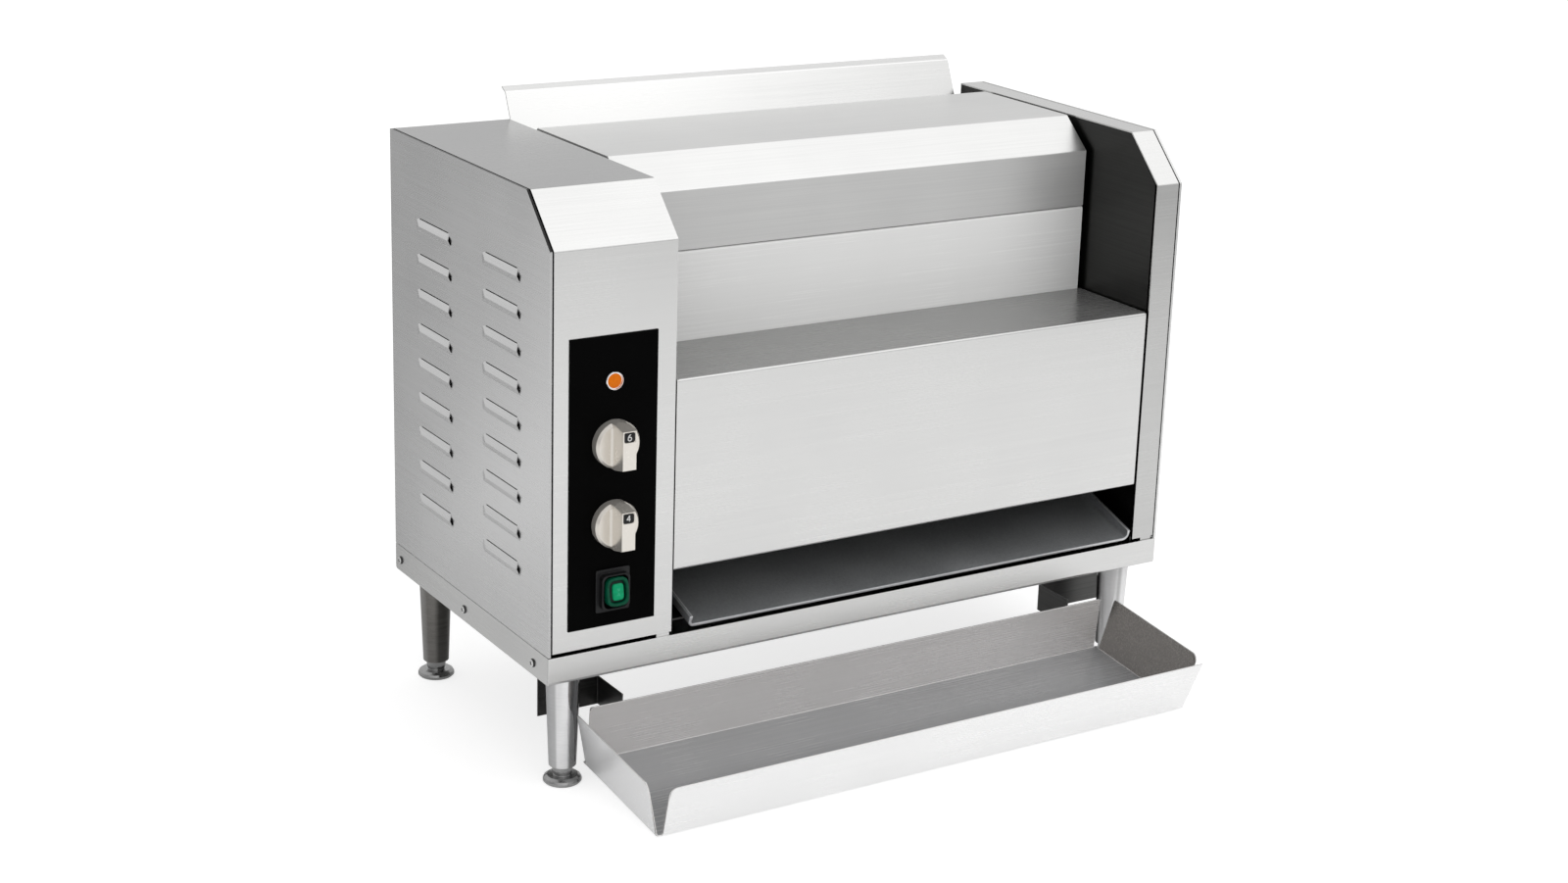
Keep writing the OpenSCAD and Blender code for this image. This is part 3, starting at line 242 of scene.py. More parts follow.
finishLooks = {
    "brushedFront": steelLook,
    "brushedRear": {**steelLook, "round": 0.0005},
    "feederSteel": {
        **steelLook,
        # painted highlight: upward faces of the feeder paler
        "faces": [{"ways": [("Z", 0.6, 0.8)], "dark": (0.9, 0.9, 0.895), "light": (0.96, 0.96, 0.952)}],
    },
    # paler, near-white copy of the steel without metal: painted light, with the diffuse look of a satin
    # finish
    "satinPanelPaintedLight": {
        **steelLook, "dark": (0.92, 0.92, 0.91), "light": (0.97, 0.97, 0.96), "bump": 0.02, "metal": 0.0,
    },
    "satinCover": {
        **steelLook, "dark": (0.61, 0.61, 0.605), "light": (0.7, 0.7, 0.692), "rough": (0.3, 0.38),
        "metal": 0.4,
        "faces": [
            # painted highlight: upward faces of the cover paler and fully metal
            {"ways": [("Z", 0.3, 0.5)], "dark": (0.7, 0.7, 0.695), "light": (0.8, 0.8, 0.792), "metal": 1.0},
        ],
    },
    "leftFront": {
        **steelLook,
        # painted shade: upward faces of the left front darker
        "faces": [{"ways": [("Z", 0.88, 0.97)], "dark": (0.38, 0.38, 0.38), "light": (0.46, 0.46, 0.46)}],
    },
    "rightFront": {
        **steelLook,
        # painted shade: front faces of the right front darker
        "faces": [{"ways": [("Y", -0.85, -0.95)], "dark": (0.53, 0.53, 0.525), "light": (0.61, 0.61, 0.602)}],
    },
    "shelfCover": {
        **steelLook,
        "faces": [
            # painted shade: upward faces of the shelf darker
            {"ways": [("Z", 0.6, 0.85)], "dark": (0.29, 0.29, 0.287), "light": (0.36, 0.36, 0.355),
             "metal": 0.6},
        ],
    },
    "brushedSide": {**steelLook, "grain": sideGrain, "round": 0.0006},
    "leftSide": {
        **steelLook, "dark": (0.68, 0.68, 0.68), "light": (0.74, 0.74, 0.74), "rough": (0.25, 0.3),
        "bump": 0.03, "grain": sideGrain, "round": 0.0006,
        "faces": [
            # painted shade: faces not turned out to the left, as in seams and louvre edges, darker
            {"ways": [("X", -0.6, -0.4)], "dark": (0.52, 0.52, 0.52), "light": (0.6, 0.6, 0.6)},
            # painted shade: upward faces among them near black, standing in for the shadow in the top seam
            {"ways": [("X", -0.6, -0.4), ("Z", 0.35, 0.5)],
             "dark": (0.02, 0.02, 0.02), "light": (0.04, 0.04, 0.04)},
        ],
    },
    "brushedRail": {
        **steelLook, "grain": railGrain, "round": 0.0006,
        # painted shade: downward faces of the base darker
        "faces": [{"ways": [("Z", -0.6, -0.85)], "dark": (0.2, 0.2, 0.2), "light": (0.28, 0.28, 0.275)}],
    },
    "brushedTray": {
        # paler steel outside: painted light
        **steelLook, "dark": (0.88, 0.88, 0.88), "light": (0.95, 0.95, 0.95), "bump": 0.02,
        "faces": [
            {"ways": [("Z", -0.18, -0.12)],  # inside, painted shade
             "dark": (0.84, 0.82, 0.81), "light": (0.92, 0.9, 0.89), "metal": 0.45},
            {"ways": [("Z", 0.8, 0.95)],  # floor, painted reflection of the dark underside
             "dark": (0.38, 0.384, 0.392), "light": (0.47, 0.474, 0.482), "metal": 0.35},
            {"ways": [("Z", -0.05, -0.12), ("X", -0.8, -0.9)],  # outside of the left end, painted light over its reflection
             "dark": (0.93, 0.93, 0.935), "light": (0.98, 0.98, 0.985), "metal": 0.2},
            {"ways": [("Z", 0.05, 0.12), ("X", -0.8, -0.9)],  # inside of the right end, painted shade
             "dark": (0.3, 0.285, 0.27), "light": (0.38, 0.363, 0.347)},
        ],
        # painted highlight along edges and creases
        "paintedEdge": {"radius": 0.002, "dark": (0.93, 0.93, 0.93), "light": (0.98, 0.98, 0.98), "metal": 0.1},
    },
    # steel darkened near to black: painted shade on the walls, rails, ledges and runners inside the body
    "paintedShadeSteel": {
        "dark": (0.044, 0.044, 0.043), "light": (0.062, 0.062, 0.06), "rough": (0.3, 0.36),
        "grain": sideGrain, "cloud": 7.0, "bump": 0.015, "deep": 0.0002, "metal": 1.0,
    },
    # near-black plate tone standing in for shade, with a painted highlight along its edges
    "carrierPlate": {
        "dark": (0.05, 0.05, 0.05), "light": (0.11, 0.11, 0.107), "rough": (0.28, 0.4),
        "grain": railGrain, "cloud": 9.0, "bump": 0.06, "deep": 0.0002, "metal": 1.0,
        "paintedEdge": {"radius": 0.0012, "dark": (0.6, 0.6, 0.6), "light": (0.75, 0.75, 0.75)},
    },
    "brightChrome": {
        "dark": (0.82, 0.82, 0.83), "light": (0.89, 0.89, 0.9), "rough": (0.05, 0.1),
        "grain": turnedGrain, "cloud": 14.0, "bump": 0.02, "deep": 0.0001, "metal": 1.0,
    },
    # front left leg: a darker copy of the chrome with painted reflection bands, darker on left-facing faces
    # and dark on right-facing ones
    "legChrome": {
        "dark": (0.72, 0.72, 0.725), "light": (0.82, 0.82, 0.825), "rough": (0.06, 0.12),
        "grain": turnedGrain, "cloud": 14.0, "bump": 0.02, "deep": 0.0001, "metal": 1.0,
        "faces": [
            {"ways": [("X", -0.74, -0.84)], "dark": (0.44, 0.44, 0.445), "light": (0.52, 0.52, 0.525)},
            {"ways": [("X", -0.15, 0.05)], "dark": (0.22, 0.22, 0.222), "light": (0.28, 0.28, 0.282)},
        ],
    },
    # front right leg: a paler copy of the chrome with little metal and painted reflection bands, near black
    # on faces turned back, grey on a band turned a little left, darker on faces turned right
    "legPale": {
        "dark": (0.88, 0.88, 0.885), "light": (0.95, 0.95, 0.955), "rough": (0.1, 0.18),
        "grain": turnedGrain, "cloud": 14.0, "bump": 0.02, "deep": 0.0001, "metal": 0.25,
        "faces": [
            {"ways": [("Y", -0.2, 0.1)], "dark": (0.02, 0.02, 0.02), "light": (0.05, 0.05, 0.05)},
            {"ways": [("X", -0.4, -0.2), ("X", 0.1, -0.1)],
             "dark": (0.5, 0.5, 0.5), "light": (0.58, 0.58, 0.58)},
            {"ways": [("X", 0.5, 0.7)], "dark": (0.4, 0.4, 0.4), "light": (0.5, 0.5, 0.5)},
        ],
    },
    # rear legs: a darker painted-shade copy of the chrome, paler on left-facing faces and darker on
    # right-facing ones as painted reflection
    "legShade": {
        "dark": (0.16, 0.155, 0.145), "light": (0.24, 0.23, 0.22), "rough": (0.12, 0.2),
        "grain": turnedGrain, "cloud": 14.0, "bump": 0.02, "deep": 0.0001, "metal": 1.0,
        "faces": [
            {"ways": [("X", -0.85, -0.97)], "dark": (0.26, 0.255, 0.245), "light": (0.36, 0.355, 0.345)},
            {"ways": [("X", -0.5, -0.2)], "dark": (0.06, 0.058, 0.054), "light": (0.1, 0.097, 0.092)},
        ],
    },
    # feet: a darker painted-shade copy of the plated steel, with a painted highlight along edges
    "footSteel": {
        "dark": (0.28, 0.28, 0.28), "light": (0.42, 0.42, 0.42), "rough": (0.14, 0.24),
        "grain": (500.0, 500.0, 500.0), "cloud": 40.0, "bump": 0.04, "deep": 0.0001, "metal": 1.0,
        "paintedEdge": {"radius": 0.001, "dark": (0.7, 0.7, 0.7), "light": (0.8, 0.8, 0.8)},
    },
    "platedScrew": {
        "dark": (0.5, 0.5, 0.5), "light": (0.68, 0.68, 0.67), "rough": (0.2, 0.32),
        "grain": evenGrain, "cloud": 60.0, "bump": 0.08, "deep": 0.0001, "metal": 1.0,
        # painted shade: a dark outline along edges and creases, standing in for the shadow gap round heads
        "paintedEdge": {"radius": 0.0008, "dark": (0.05, 0.05, 0.05), "light": (0.1, 0.1, 0.1)},
    },
    # screws in the rails: near black with heads turned to either side pale, a painted highlight on the heads
    # and painted shade round them
    "railScrew": {
        "dark": (0.04, 0.04, 0.04), "light": (0.08, 0.08, 0.08), "rough": (0.2, 0.32),
        "grain": evenGrain, "cloud": 60.0, "bump": 0.08, "deep": 0.0001, "metal": 1.0,
        "faces": [
            {"ways": [("X", -0.6, -0.9)], "dark": (0.7, 0.7, 0.7), "light": (0.86, 0.86, 0.85)},
            {"ways": [("X", 0.6, 0.9)], "dark": (0.7, 0.7, 0.7), "light": (0.86, 0.86, 0.85)},
        ],
    },
    "satinNickel": {
        "dark": (0.8, 0.76, 0.7), "light": (0.86, 0.82, 0.76), "rough": (0.22, 0.28),
        "grain": (500.0, 500.0, 500.0), "cloud": 30.0, "bump": 0.01, "deep": 0.0001, "metal": 0.65,
        "round": 0.0005,
    },
    "blackFilm": {
        "dark": (0.001, 0.001, 0.001), "light": (0.003, 0.003, 0.003), "rough": (0.45, 0.55),
        "grain": evenGrain, "cloud": 12.0, "bump": 0.03, "deep": 0.0001, "shine": 0.018,
    },
    "mouldedBlack": {
        "dark": (0.004, 0.004, 0.0045), "light": (0.009, 0.009, 0.01), "rough": (0.32, 0.42),
        "grain": (1400.0, 1400.0, 1400.0), "cloud": 40.0, "bump": 0.1, "deep": 0.0001, "shine": 0.3,
    },
    "markWhite": {
        "dark": (0.74, 0.74, 0.73), "light": (0.84, 0.84, 0.83), "rough": (0.4, 0.5),
        "grain": evenGrain, "cloud": 50.0, "bump": 0.03, "deep": 0.0001,
    },
    "amberLens": {
        "dark": (0.74, 0.14, 0.0), "light": (0.9, 0.22, 0.002), "rough": (0.16, 0.24),
        "grain": plasticGrain, "cloud": 80.0, "bump": 0.03, "deep": 0.0002, "shine": 0.14,
    },
    # painted shade: the groove's green near black
    "emeraldGrooveShade": {
        "dark": (0.0, 0.008, 0.004), "light": (0.0, 0.022, 0.012), "rough": (0.2, 0.3),
        "grain": plasticGrain, "cloud": 90.0, "bump": 0.02, "deep": 0.0002, "shine": 0.2,
    },
    "emeraldRim": {
        "dark": (0.0, 0.05, 0.024), "light": (0.0, 0.105, 0.052), "rough": (0.12, 0.2),
        "grain": plasticGrain, "cloud": 90.0, "bump": 0.02, "deep": 0.0002, "shine": 0.14,
        # painted highlight along the rim's edges
        "paintedEdge": {"radius": 0.0006, "dark": (0.0, 0.2, 0.1), "light": (0.01, 0.3, 0.17)},
    },
    "emeraldBlock": {
        "dark": (0.0, 0.27, 0.11), "light": (0.0, 0.42, 0.18), "rough": (0.12, 0.2),
        "grain": plasticGrain, "cloud": 120.0, "bump": 0.02, "deep": 0.0002, "shine": 0.16,
        # painted highlight along the block's edges
        "paintedEdge": {"radius": 0.0008, "dark": (0.02, 0.5, 0.26), "light": (0.08, 0.62, 0.36)},
    },
    "slateCoat": {
        "dark": (0.28, 0.29, 0.298), "light": (0.42, 0.43, 0.44), "rough": (0.28, 0.4),
        "grain": (420.0, 420.0, 420.0), "cloud": 14.0, "bump": 0.5, "deep": 0.0005, "metal": 0.7,
        # painted highlight: front faces of the landing pan paler
        "faces": [{"ways": [("Y", -0.85, -0.93)], "dark": (0.55, 0.56, 0.57), "light": (0.7, 0.7, 0.71)}],
        # painted highlight along the pan's edges
        "paintedEdge": {"radius": 0.0012, "dark": (0.7, 0.7, 0.7), "light": (0.85, 0.85, 0.85)},
    },
    "darkCoat": {
        "dark": (0.02, 0.02, 0.021), "light": (0.045, 0.045, 0.046), "rough": (0.38, 0.5),
        "grain": (700.0, 700.0, 700.0), "cloud": 16.0, "bump": 0.2, "deep": 0.0003, "metal": 0.3,
    },
    "beltRubber": {
        "dark": (0.018, 0.018, 0.018), "light": (0.04, 0.04, 0.04), "rough": (0.6, 0.75),
        "grain": (1200.0, 300.0, 300.0), "cloud": 30.0, "bump": 0.2, "deep": 0.0003,
    },
    "turnedAluminium": {
        "dark": (0.5, 0.5, 0.5), "light": (0.64, 0.64, 0.64), "rough": (0.25, 0.36),
        "grain": (900.0, 12.0, 12.0), "cloud": 20.0, "bump": 0.08, "deep": 0.0002, "metal": 1.0,
    },
    "sinteredBrass": {
        "dark": (0.45, 0.32, 0.13), "light": (0.62, 0.46, 0.2), "rough": (0.35, 0.48),
        "grain": evenGrain, "cloud": 90.0, "bump": 0.15, "deep": 0.0002, "metal": 1.0,
    },
    "heaterSheath": {
        "dark": (0.1, 0.09, 0.08), "light": (0.22, 0.2, 0.17), "rough": (0.45, 0.6),
        "grain": (40.0, 500.0, 500.0), "cloud": 25.0, "bump": 0.1, "deep": 0.0002, "metal": 0.8,
    },
    "fibreBoard": {
        "dark": (0.6, 0.57, 0.5), "light": (0.76, 0.73, 0.66), "rough": (0.75, 0.9),
        "grain": (350.0, 350.0, 350.0), "cloud": 25.0, "bump": 0.3, "deep": 0.0004,
    },
    "motorPaint": {
        "dark": (0.05, 0.053, 0.058), "light": (0.09, 0.094, 0.1), "rough": (0.35, 0.5),
        "grain": (500.0, 500.0, 500.0), "cloud": 30.0, "bump": 0.15, "deep": 0.0003,
    },
    "innerPlastic": {
        "dark": (0.05, 0.05, 0.052), "light": (0.09, 0.09, 0.092), "rough": (0.45, 0.6),
        "grain": evenGrain, "cloud": 40.0, "bump": 0.12, "deep": 0.0002,
    },
}
finishes = {name: makeFinish(name, look) for name, look in finishLooks.items()}
print("finishes made,", len(finishes))


# each node of the solid model, by the finish it gets
nodeFinishes = {
    "satinPanelPaintedLight": ["upper_front_panel"],
    "satinCover": ["top_cover"],
    "shelfCover": ["lower_front_cover"],
    "leftFront": ["left_fascia"],
    "rightFront": ["right_fascia"],
    "feederSteel": ["bun_feeder"],
    "brushedFront": ["belt_bed", "heater_clamps"],
    "brushedRear": ["rear_panel"],
    "leftSide": ["left_side_panel"],
    "brushedSide": ["right_side_panel", "plate_brackets"],
    "brushedRail": ["base_pan"],
    "brushedTray": ["catch_tray"],
    "paintedShadeSteel": ["left_inner_wall", "right_inner_wall", "cover_rails", "front_ledges", "feeder_ledge",
                   "pan_runners"],
    "carrierPlate": ["tray_carrier_left", "tray_carrier_right"],
    "legChrome": ["leg_front_left"],
    "legPale": ["leg_front_right"],
    "legShade": ["leg_rear_left", "leg_rear_right"],
    "footSteel": ["foot_front_left", "foot_front_right", "foot_rear_left", "foot_rear_right"],
    "brightChrome": ["indicator_bezel"],
    "railScrew": ["base_screws"],
    "platedScrew": ["leg_nuts", "rear_screws", "drive_shaft", "idler_shaft", "drive_coupling"],
    "satinNickel": ["temperature_knob", "speed_knob"],
    "blackFilm": ["control_plate"],
    "mouldedBlack": ["rocker_frame", "cable_gland"],
    "amberLens": ["indicator_lens"],
    "emeraldRim": ["rocker_button"],
    "slateCoat": ["landing_pan"],
    "darkCoat": ["hot_plate", "bun_chute"],
    "beltRubber": ["conveyor_belt"],
    "turnedAluminium": ["drive_roller", "idler_roller"],
    "sinteredBrass": ["shaft_bushings"],
    "heaterSheath": ["heater_tubes"],
    "fibreBoard": ["insulation_board"],
    "motorPaint": ["gear_motor"],
    "innerPlastic": ["thermostat", "speed_controller", "terminal_block"],
}
for finishName, members in nodeFinishes.items():
    for member in members:
        slots = nodes[member].data.materials
        slots.clear()
        slots.append(finishes[finishName])
print("nodes dressed,", sum(len(members) for members in nodeFinishes.values()))


# rounded edges that catch the light, in metres
edgeWidths = {
    "top_cover": 0.0004, "upper_front_panel": 0.0004, "lower_front_cover": 0.0005, "bun_feeder": 0.0004,
    "catch_tray": 0.0006, "rocker_frame": 0.0006, "landing_pan": 0.0009,
    "tray_carrier_left": 0.0004, "tray_carrier_right": 0.0004,
}
edgeSet = {"merge": 0.00001, "segments": 2, "angle": 32.0, "weight": 80}


def easeEdges(piece, width, look):
    merge = piece.modifiers.new("mergePoints", "WELD")
    merge.merge_threshold = look["merge"]
    ease = piece.modifiers.new("easeEdges", "BEVEL")
    ease.width = width
    ease.segments = look["segments"]
    ease.limit_method = "ANGLE"
    ease.angle_limit = math.radians(look["angle"])
    ease.use_clamp_overlap = False
    shade = piece.modifiers.new("flatFaces", "WEIGHTED_NORMAL")
    shade.weight = look["weight"]


for name, width in edgeWidths.items():
    easeEdges(nodes[name], width, edgeSet)
print("edges eased,", len(edgeWidths))


def addPiece(name, points, faces, finishName, body):
    mesh = bpy.data.meshes.new(name)
    mesh.from_pydata(points, [], faces)
    mesh.materials.append(finishes[finishName])
    mesh.polygons.foreach_set("use_smooth", np.full(len(mesh.polygons), True))
    mesh.update()
    piece = bpy.data.objects.new(name, mesh)
    bpy.context.scene.collection.objects.link(piece)
    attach(piece, body)
    return piece


# quads between neighbouring rows of a grid that is closed round its second direction
def ringFaces(rows, around):
    row, step = np.meshgrid(np.arange(rows - 1), np.arange(around), indexing="ij")
    ahead = (step + 1) % around
    quads = np.stack([row * around + step, row * around + ahead,
                      (row + 1) * around + ahead, (row + 1) * around + step], -1)
    return quads.reshape(-1, 4).tolist()


# a rounded rectangle carried along a profile: each profile point gives the inset of the outline
# and its height. the outline is a superellipse whose half sides shrink by the inset, and the
# first and the last loop close on their middles
def insetLoft(halfWide, halfHigh, power, profile, around=96):
    turn = np.linspace(0.0, 2 * np.pi, around, endpoint=False)
    inset, height = np.array(profile).T
    wide = (halfWide - inset)[:, None]
    high = (halfHigh - inset)[:, None]
    across = wide * np.sign(np.cos(turn)) * np.abs(np.cos(turn)) ** (2 / power)
    up = high * np.sign(np.sin(turn)) * np.abs(np.sin(turn)) ** (2 / power)
    out = np.broadcast_to(height[:, None], across.shape)
    loops = np.stack([across, out, up], -1).reshape(-1, 3)
    middles = np.array([[0.0, height[-1], 0.0], [0.0, height[0], 0.0]])
    last = (len(profile) - 1) * around
    step = np.arange(around)
    ahead = (step + 1) % around
    cap = np.stack([last + step, last + ahead, np.full(around, len(loops))], -1)
    back = np.stack([ahead, step, np.full(around, len(loops) + 1)], -1)
    faces = ringFaces(len(profile), around) + cap.tolist() + back.tolist()
    return np.concatenate([loops, middles]), faces


# a round bead carried along a flat path: the ring's radius falls to nothing at both ends,
# within the first and the last part of the path that the taper gives
def strokeBead(path, radius, lift, taper=14, around=10):
    along = np.gradient(path, axis=0)
    along /= np.linalg.norm(along, axis=1)[:, None]
    side = np.stack([-along[:, 1], along[:, 0]], -1)
    step = np.linspace(0.0, 1.0, len(path))
    girth = radius * np.clip(np.minimum(step, 1 - step) * taper, 0.0, 1.0) ** 0.5
    turn = np.linspace(0.0, 2 * np.pi, around, endpoint=False)
    flat = path[:, None, :] + girth[:, None, None] * np.cos(turn)[None, :, None] * side[:, None, :]
    out = -lift * girth[:, None] / radius * np.sin(turn)[None, :]
    points = np.stack([flat[..., 0], out, flat[..., 1]], -1).reshape(-1, 3)
    return points, ringFaces(len(path), around)


# paths of the two figures, in a field one unit high
figureSet = {
    "bowTop": (0.26, 0.5), "bowReach": (0.56, 0.7), "bowSteps": 26,
    "ringRadius": 0.3, "ringHeight": -0.2, "ringSteps": 40,
    "corners": [(0.14, -0.5), (0.14, 0.5), (-0.32, -0.14), (0.36, -0.14)], "strokeSteps": 20,
}


# a quarter of an ellipse that runs down into a full ring
def sixPath(look):
    rise = np.linspace(0.0, np.pi / 2, look["bowSteps"])[:, None]
    bow = look["bowTop"] - look["bowReach"] * np.concatenate([np.sin(rise), 1 - np.cos(rise)], -1)
    turn = np.linspace(np.pi, 3 * np.pi, look["ringSteps"])[1:]
    ring = look["ringRadius"] * np.stack([np.cos(turn), np.sin(turn)], -1) + [0.0, look["ringHeight"]]
    return np.concatenate([bow, ring])


# straight strokes from corner to corner
def fourPath(look):
    corners = np.array(look["corners"])
    share = np.linspace(0.0, 1.0, look["strokeSteps"], endpoint=False)[:, None]
    sides = [start + (end - start) * share for start, end in zip(corners[:-1], corners[1:])]
    return np.concatenate([*sides, corners[-1:]])


# black inlay and white figure in the head of each knob's grip: the profile gives insets and heights
inlaySet = {
    "halfWide": 0.0055, "halfHigh": 0.0047, "power": 6.0, "sink": 0.0002, "down": 0.0095,
    "profile": [(0.0, 0.0008), (0.0, 0.0002), (0.0003, 0.0), (0.00235, -0.0001), (0.004512, -0.00012)],
    "bead": 0.00055, "lift": 0.00025, "figure": 0.0058, "figureRise": 0.0001,
}


def knobInlay(name, body, figure, look):
    low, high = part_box(body)
    place = np.array([(low.x + high.x) / 2, low.y + look["sink"], high.z - look["down"]])
    points, faces = insetLoft(look["halfWide"], look["halfHigh"], look["power"], look["profile"])
    addPiece(name + "Inlay", points + place, faces, "mouldedBlack", body)
    points, faces = strokeBead(figure * look["figure"], look["bead"], look["lift"])
    place[1] -= look["figureRise"]
    addPiece(name + "Figure", points + place, faces, "markWhite", body)


knobInlay("temperatureKnob", "temperature_knob", sixPath(figureSet), inlaySet)
knobInlay("speedKnob", "speed_knob", fourPath(figureSet), inlaySet)
print("knobs marked")


# clear green rocker: a rim with a groove inside it and a bright block in the middle, tilted as the
# switch rests. the profiles give insets, and depths behind the face of the rim
rockerSet = {
    "halfWide": 0.0117, "halfHigh": 0.0138, "tilt": -8.0, "reach": 0.0098,
    "rimInset": 0.0, "rimPower": 3.8,
    "rimProfile": [
        (0.0012, 0.0138), (0.0, 0.0108), (0.0, 0.0008), (0.0003, 0.0002), (0.0009, 0.0), (0.0021, 0.0),
        (0.0026, 0.0003), (0.003, 0.002), (0.0036, 0.0025), (0.0052, 0.0026), (0.0095, 0.0026),
    ],
    "grooveInset": 0.0029, "groovePower": 3.8,
    "grooveProfile": [(0.0, 0.0027), (0.0, 0.0023), (0.0002, 0.0021), (0.006, 0.0021)],
    "blockInset": 0.0057, "blockPower": 5.0,
    "blockProfile": [
        (0.0, 0.0028), (0.0, 0.0008), (0.0003, 0.0002), (0.0013, -0.0004), (0.003, -0.0006), (0.006, -0.0006),
    ],
}


def rockerForm(name, part, finishName, look):
    low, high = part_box("rocker_frame")
    pivot = next(joint["pos_m"] for joint in frame["joints"] if joint["name"] == "power_rocker_tilt")
    middle = np.array([(low.x + high.x) / 2, pivot[1], (low.z + high.z) / 2])
    tilt = math.radians(look["tilt"])
    lean = np.array([[1, 0, 0], [0, math.cos(tilt), -math.sin(tilt)], [0, math.sin(tilt), math.cos(tilt)]])
    inset, power = look[part + "Inset"], look[part + "Power"]
    profile = np.array(look[part + "Profile"]) - [0.0, look["reach"]]
    points, faces = insetLoft(look["halfWide"] - inset, look["halfHigh"] - inset, power, profile)
    return addPiece(name, points @ lean.T + middle, faces, finishName, "power_rocker")


rimPiece = rockerForm("rockerRim", "rim", "emeraldRim", rockerSet)
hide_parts("rocker_button")
rockerForm("rockerGroove", "groove", "emeraldGrooveShade", rockerSet)
rockerForm("rockerBlock", "block", "emeraldBlock", rockerSet)
print("rocker made")


# pale floor: white to the camera, with painted light and shade as its tones in reflections, and it keeps a
# soft shadow
floorSet = {
    "half": 14.0, "glow": 0.72, "shade": 0.5, "bounce": 0.8, "lift": 0.2,
    "broad": {"centre": (0.2, -1.0, 0.0), "near": 0.9, "far": 2.7, "nearTone": 0.95, "farTone": 0.48},
    "sideStart": -0.42, "sideEnd": -0.5, "sideSlope": 1.49,
    "sideTone": (0.84, 0.39), "sideSpan": (-0.35, -0.15),
    "shadowSpots": [
        # painted shadow near the left side of the object, seen in reflections
        {"centre": (-0.46, 0.38, 0.0), "near": 0.1, "far": 0.4, "nearTone": 0.74, "farTone": 1.0},
    ],
}


# goes from one tone to another with the distance from a point
def toneRound(tree, place, look):
    reach = addNode(tree, "ShaderNodeVectorMath", operation="DISTANCE")
    reach.inputs[1].default_value = look["centre"]
    tree.links.new(place, reach.inputs[0])
    return spread(tree, reach.outputs["Value"], look["nearTone"], look["farTone"], look["near"], look["far"])


# painted tone in reflections: a painted pool of light near a centre, a slanted step of painted shade on the
# left of the object, and spots of painted shadow
def floorTone(tree, look):
    place = addNode(tree, "ShaderNodeTexCoord").outputs["Object"]
    split = addNode(tree, "ShaderNodeSeparateXYZ")
    tree.links.new(place, split.inputs[0])
    across, deep = split.outputs["X"], split.outputs["Y"]
    broad = toneRound(tree, place, look["broad"])
    slant = combine(tree, "ADD", combine(tree, "MULTIPLY", across, look["sideSlope"]), deep)
    side = spread(tree, slant, *look["sideTone"], *look["sideSpan"])
    tone = mixValues(tree, broad, side, spread(tree, across, 0.0, 1.0, look["sideStart"], look["sideEnd"]))
    for shadowSpot in look["shadowSpots"]:
        tone = combine(tree, "MULTIPLY", tone, toneRound(tree, place, shadowSpot))
    return tone


def sumShaders(tree, first, second):
    node = addNode(tree, "ShaderNodeAddShader")
    tree.links.new(first.outputs[0], node.inputs[0])
    tree.links.new(second.outputs[0], node.inputs[1])
    return node


def mixShaders(tree, first, second, share):
    node = addNode(tree, "ShaderNodeMixShader")
    tree.links.new(share, node.inputs[0])
    tree.links.new(first.outputs[0], node.inputs[1])
    tree.links.new(second.outputs[0], node.inputs[2])
    return node


def floorPaint(look):
    paint = bpy.data.materials.new("floorPaint")
    paint.use_nodes = True
    tree = paint.node_tree
    tree.nodes.clear()
    ray = addNode(tree, "ShaderNodeLightPath").outputs
    tone = floorTone(tree, look)
    white = addNode(tree, "ShaderNodeEmission", {"Strength": look["glow"]})
    shadow = addNode(tree, "ShaderNodeBsdfDiffuse", {"Color": (look["shade"],) * 3 + (1,)})
    plain = addNode(tree, "ShaderNodeBsdfDiffuse", {"Color": (look["bounce"],) * 3 + (1,)})
    toned = addNode(tree, "ShaderNodeBsdfDiffuse")
    lift = addNode(tree, "ShaderNodeEmission", {"Strength": look["lift"]})
    tree.links.new(tone, toned.inputs["Color"])
    tree.links.new(tone, lift.inputs["Color"])
    polished = combine(tree, "MAXIMUM", ray["Is Glossy Ray"], ray["Is Transmission Ray"])
    indirect = mixShaders(tree, plain, sumShaders(tree, toned, lift), polished)
    whole = mixShaders(tree, indirect, sumShaders(tree, white, shadow), ray["Is Camera Ray"])
    end = addNode(tree, "ShaderNodeOutputMaterial")
    tree.links.new(whole.outputs[0], end.inputs["Surface"])
    return paint


def makeFloor(look):
    side = np.array([-look["half"], look["half"]])
    across, deep = np.meshgrid(side, side)
    points = np.stack([across.ravel(), deep.ravel(), np.zeros(4)], -1)
    mesh = bpy.data.meshes.new("floor")
    mesh.from_pydata(points.tolist(), [], [(0, 1, 3, 2)])
    mesh.materials.append(floorPaint(look))
    floor = bpy.data.objects.new("floor", mesh)
    bpy.context.scene.collection.objects.link(floor)


makeFloor(floorSet)


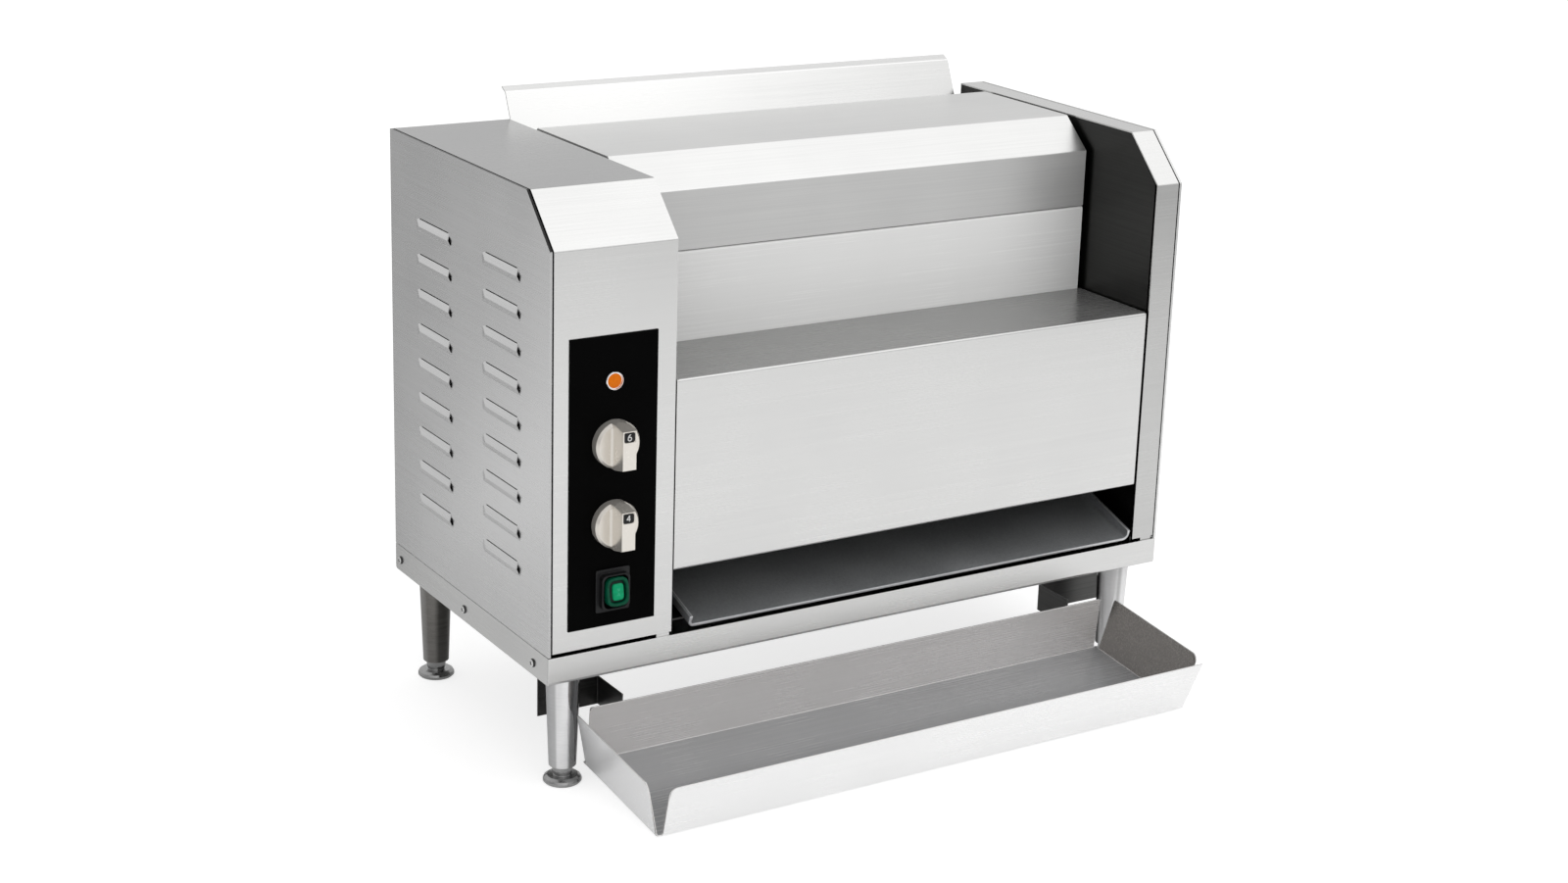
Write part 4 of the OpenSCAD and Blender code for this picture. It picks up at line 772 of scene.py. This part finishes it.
# studio round the object: white to the camera, and to everything else a grey room
# with a paler ceiling and paler ends, by the direction's height and depth
worldSet = {
    "low": 0.4, "high": 0.66, "rise": (-0.05, 0.75),
    "rear": 0.3, "rearSpan": (0.1, 0.9), "front": 0.45, "frontSpan": (-0.2, -0.9),
}


def makeWorld(look):
    world = bpy.data.worlds.new("studio")
    bpy.context.scene.world = world
    world.use_nodes = True
    tree = world.node_tree
    back = tree.nodes["Background"]
    back.inputs["Color"].default_value = (1, 1, 1, 1)
    ray = addNode(tree, "ShaderNodeLightPath")
    place = addNode(tree, "ShaderNodeTexCoord")
    split = addNode(tree, "ShaderNodeSeparateXYZ")
    tree.links.new(place.outputs["Generated"], split.inputs[0])
    room = spread(tree, split.outputs["Z"], look["low"], look["high"], *look["rise"])
    rear = spread(tree, split.outputs["Y"], 0.0, look["rear"], *look["rearSpan"])
    front = spread(tree, split.outputs["Y"], 0.0, look["front"], *look["frontSpan"])
    whole = combine(tree, "ADD", room, combine(tree, "ADD", rear, front))
    strength = combine(tree, "MAXIMUM", whole, ray.outputs["Is Camera Ray"])
    tree.links.new(strength, back.inputs["Strength"])


makeWorld(worldSet)

# soft boxes: place, the point they face, size in metres and power in watts
lampSet = {
    "overheadBox": {"place": (0.95, -0.55, 2.5), "aim": (0.1, 0.0, 0.4), "size": (2.4, 2.2), "power": 10.5},
    "frontBox": {"place": (1.7, -2.05, 2.2), "aim": (0.0, 0.1, 0.45), "size": (1.5, 1.0), "power": 1.2},
}


def makeLamp(name, look):
    data = bpy.data.lights.new(name, "AREA")
    data.shape = "RECTANGLE"
    data.size, data.size_y = look["size"]
    data.energy = look["power"]
    lamp = bpy.data.objects.new(name, data)
    away = np.array(look["place"]) - np.array(look["aim"])
    away /= np.linalg.norm(away)
    right = np.cross([0.0, 0.0, 1.0], away)
    right /= np.linalg.norm(right)
    setPose(lamp, right, np.cross(away, right), away, look["place"])
    bpy.context.scene.collection.objects.link(lamp)


for name, look in lampSet.items():
    makeLamp(name, look)
print("stage lit")
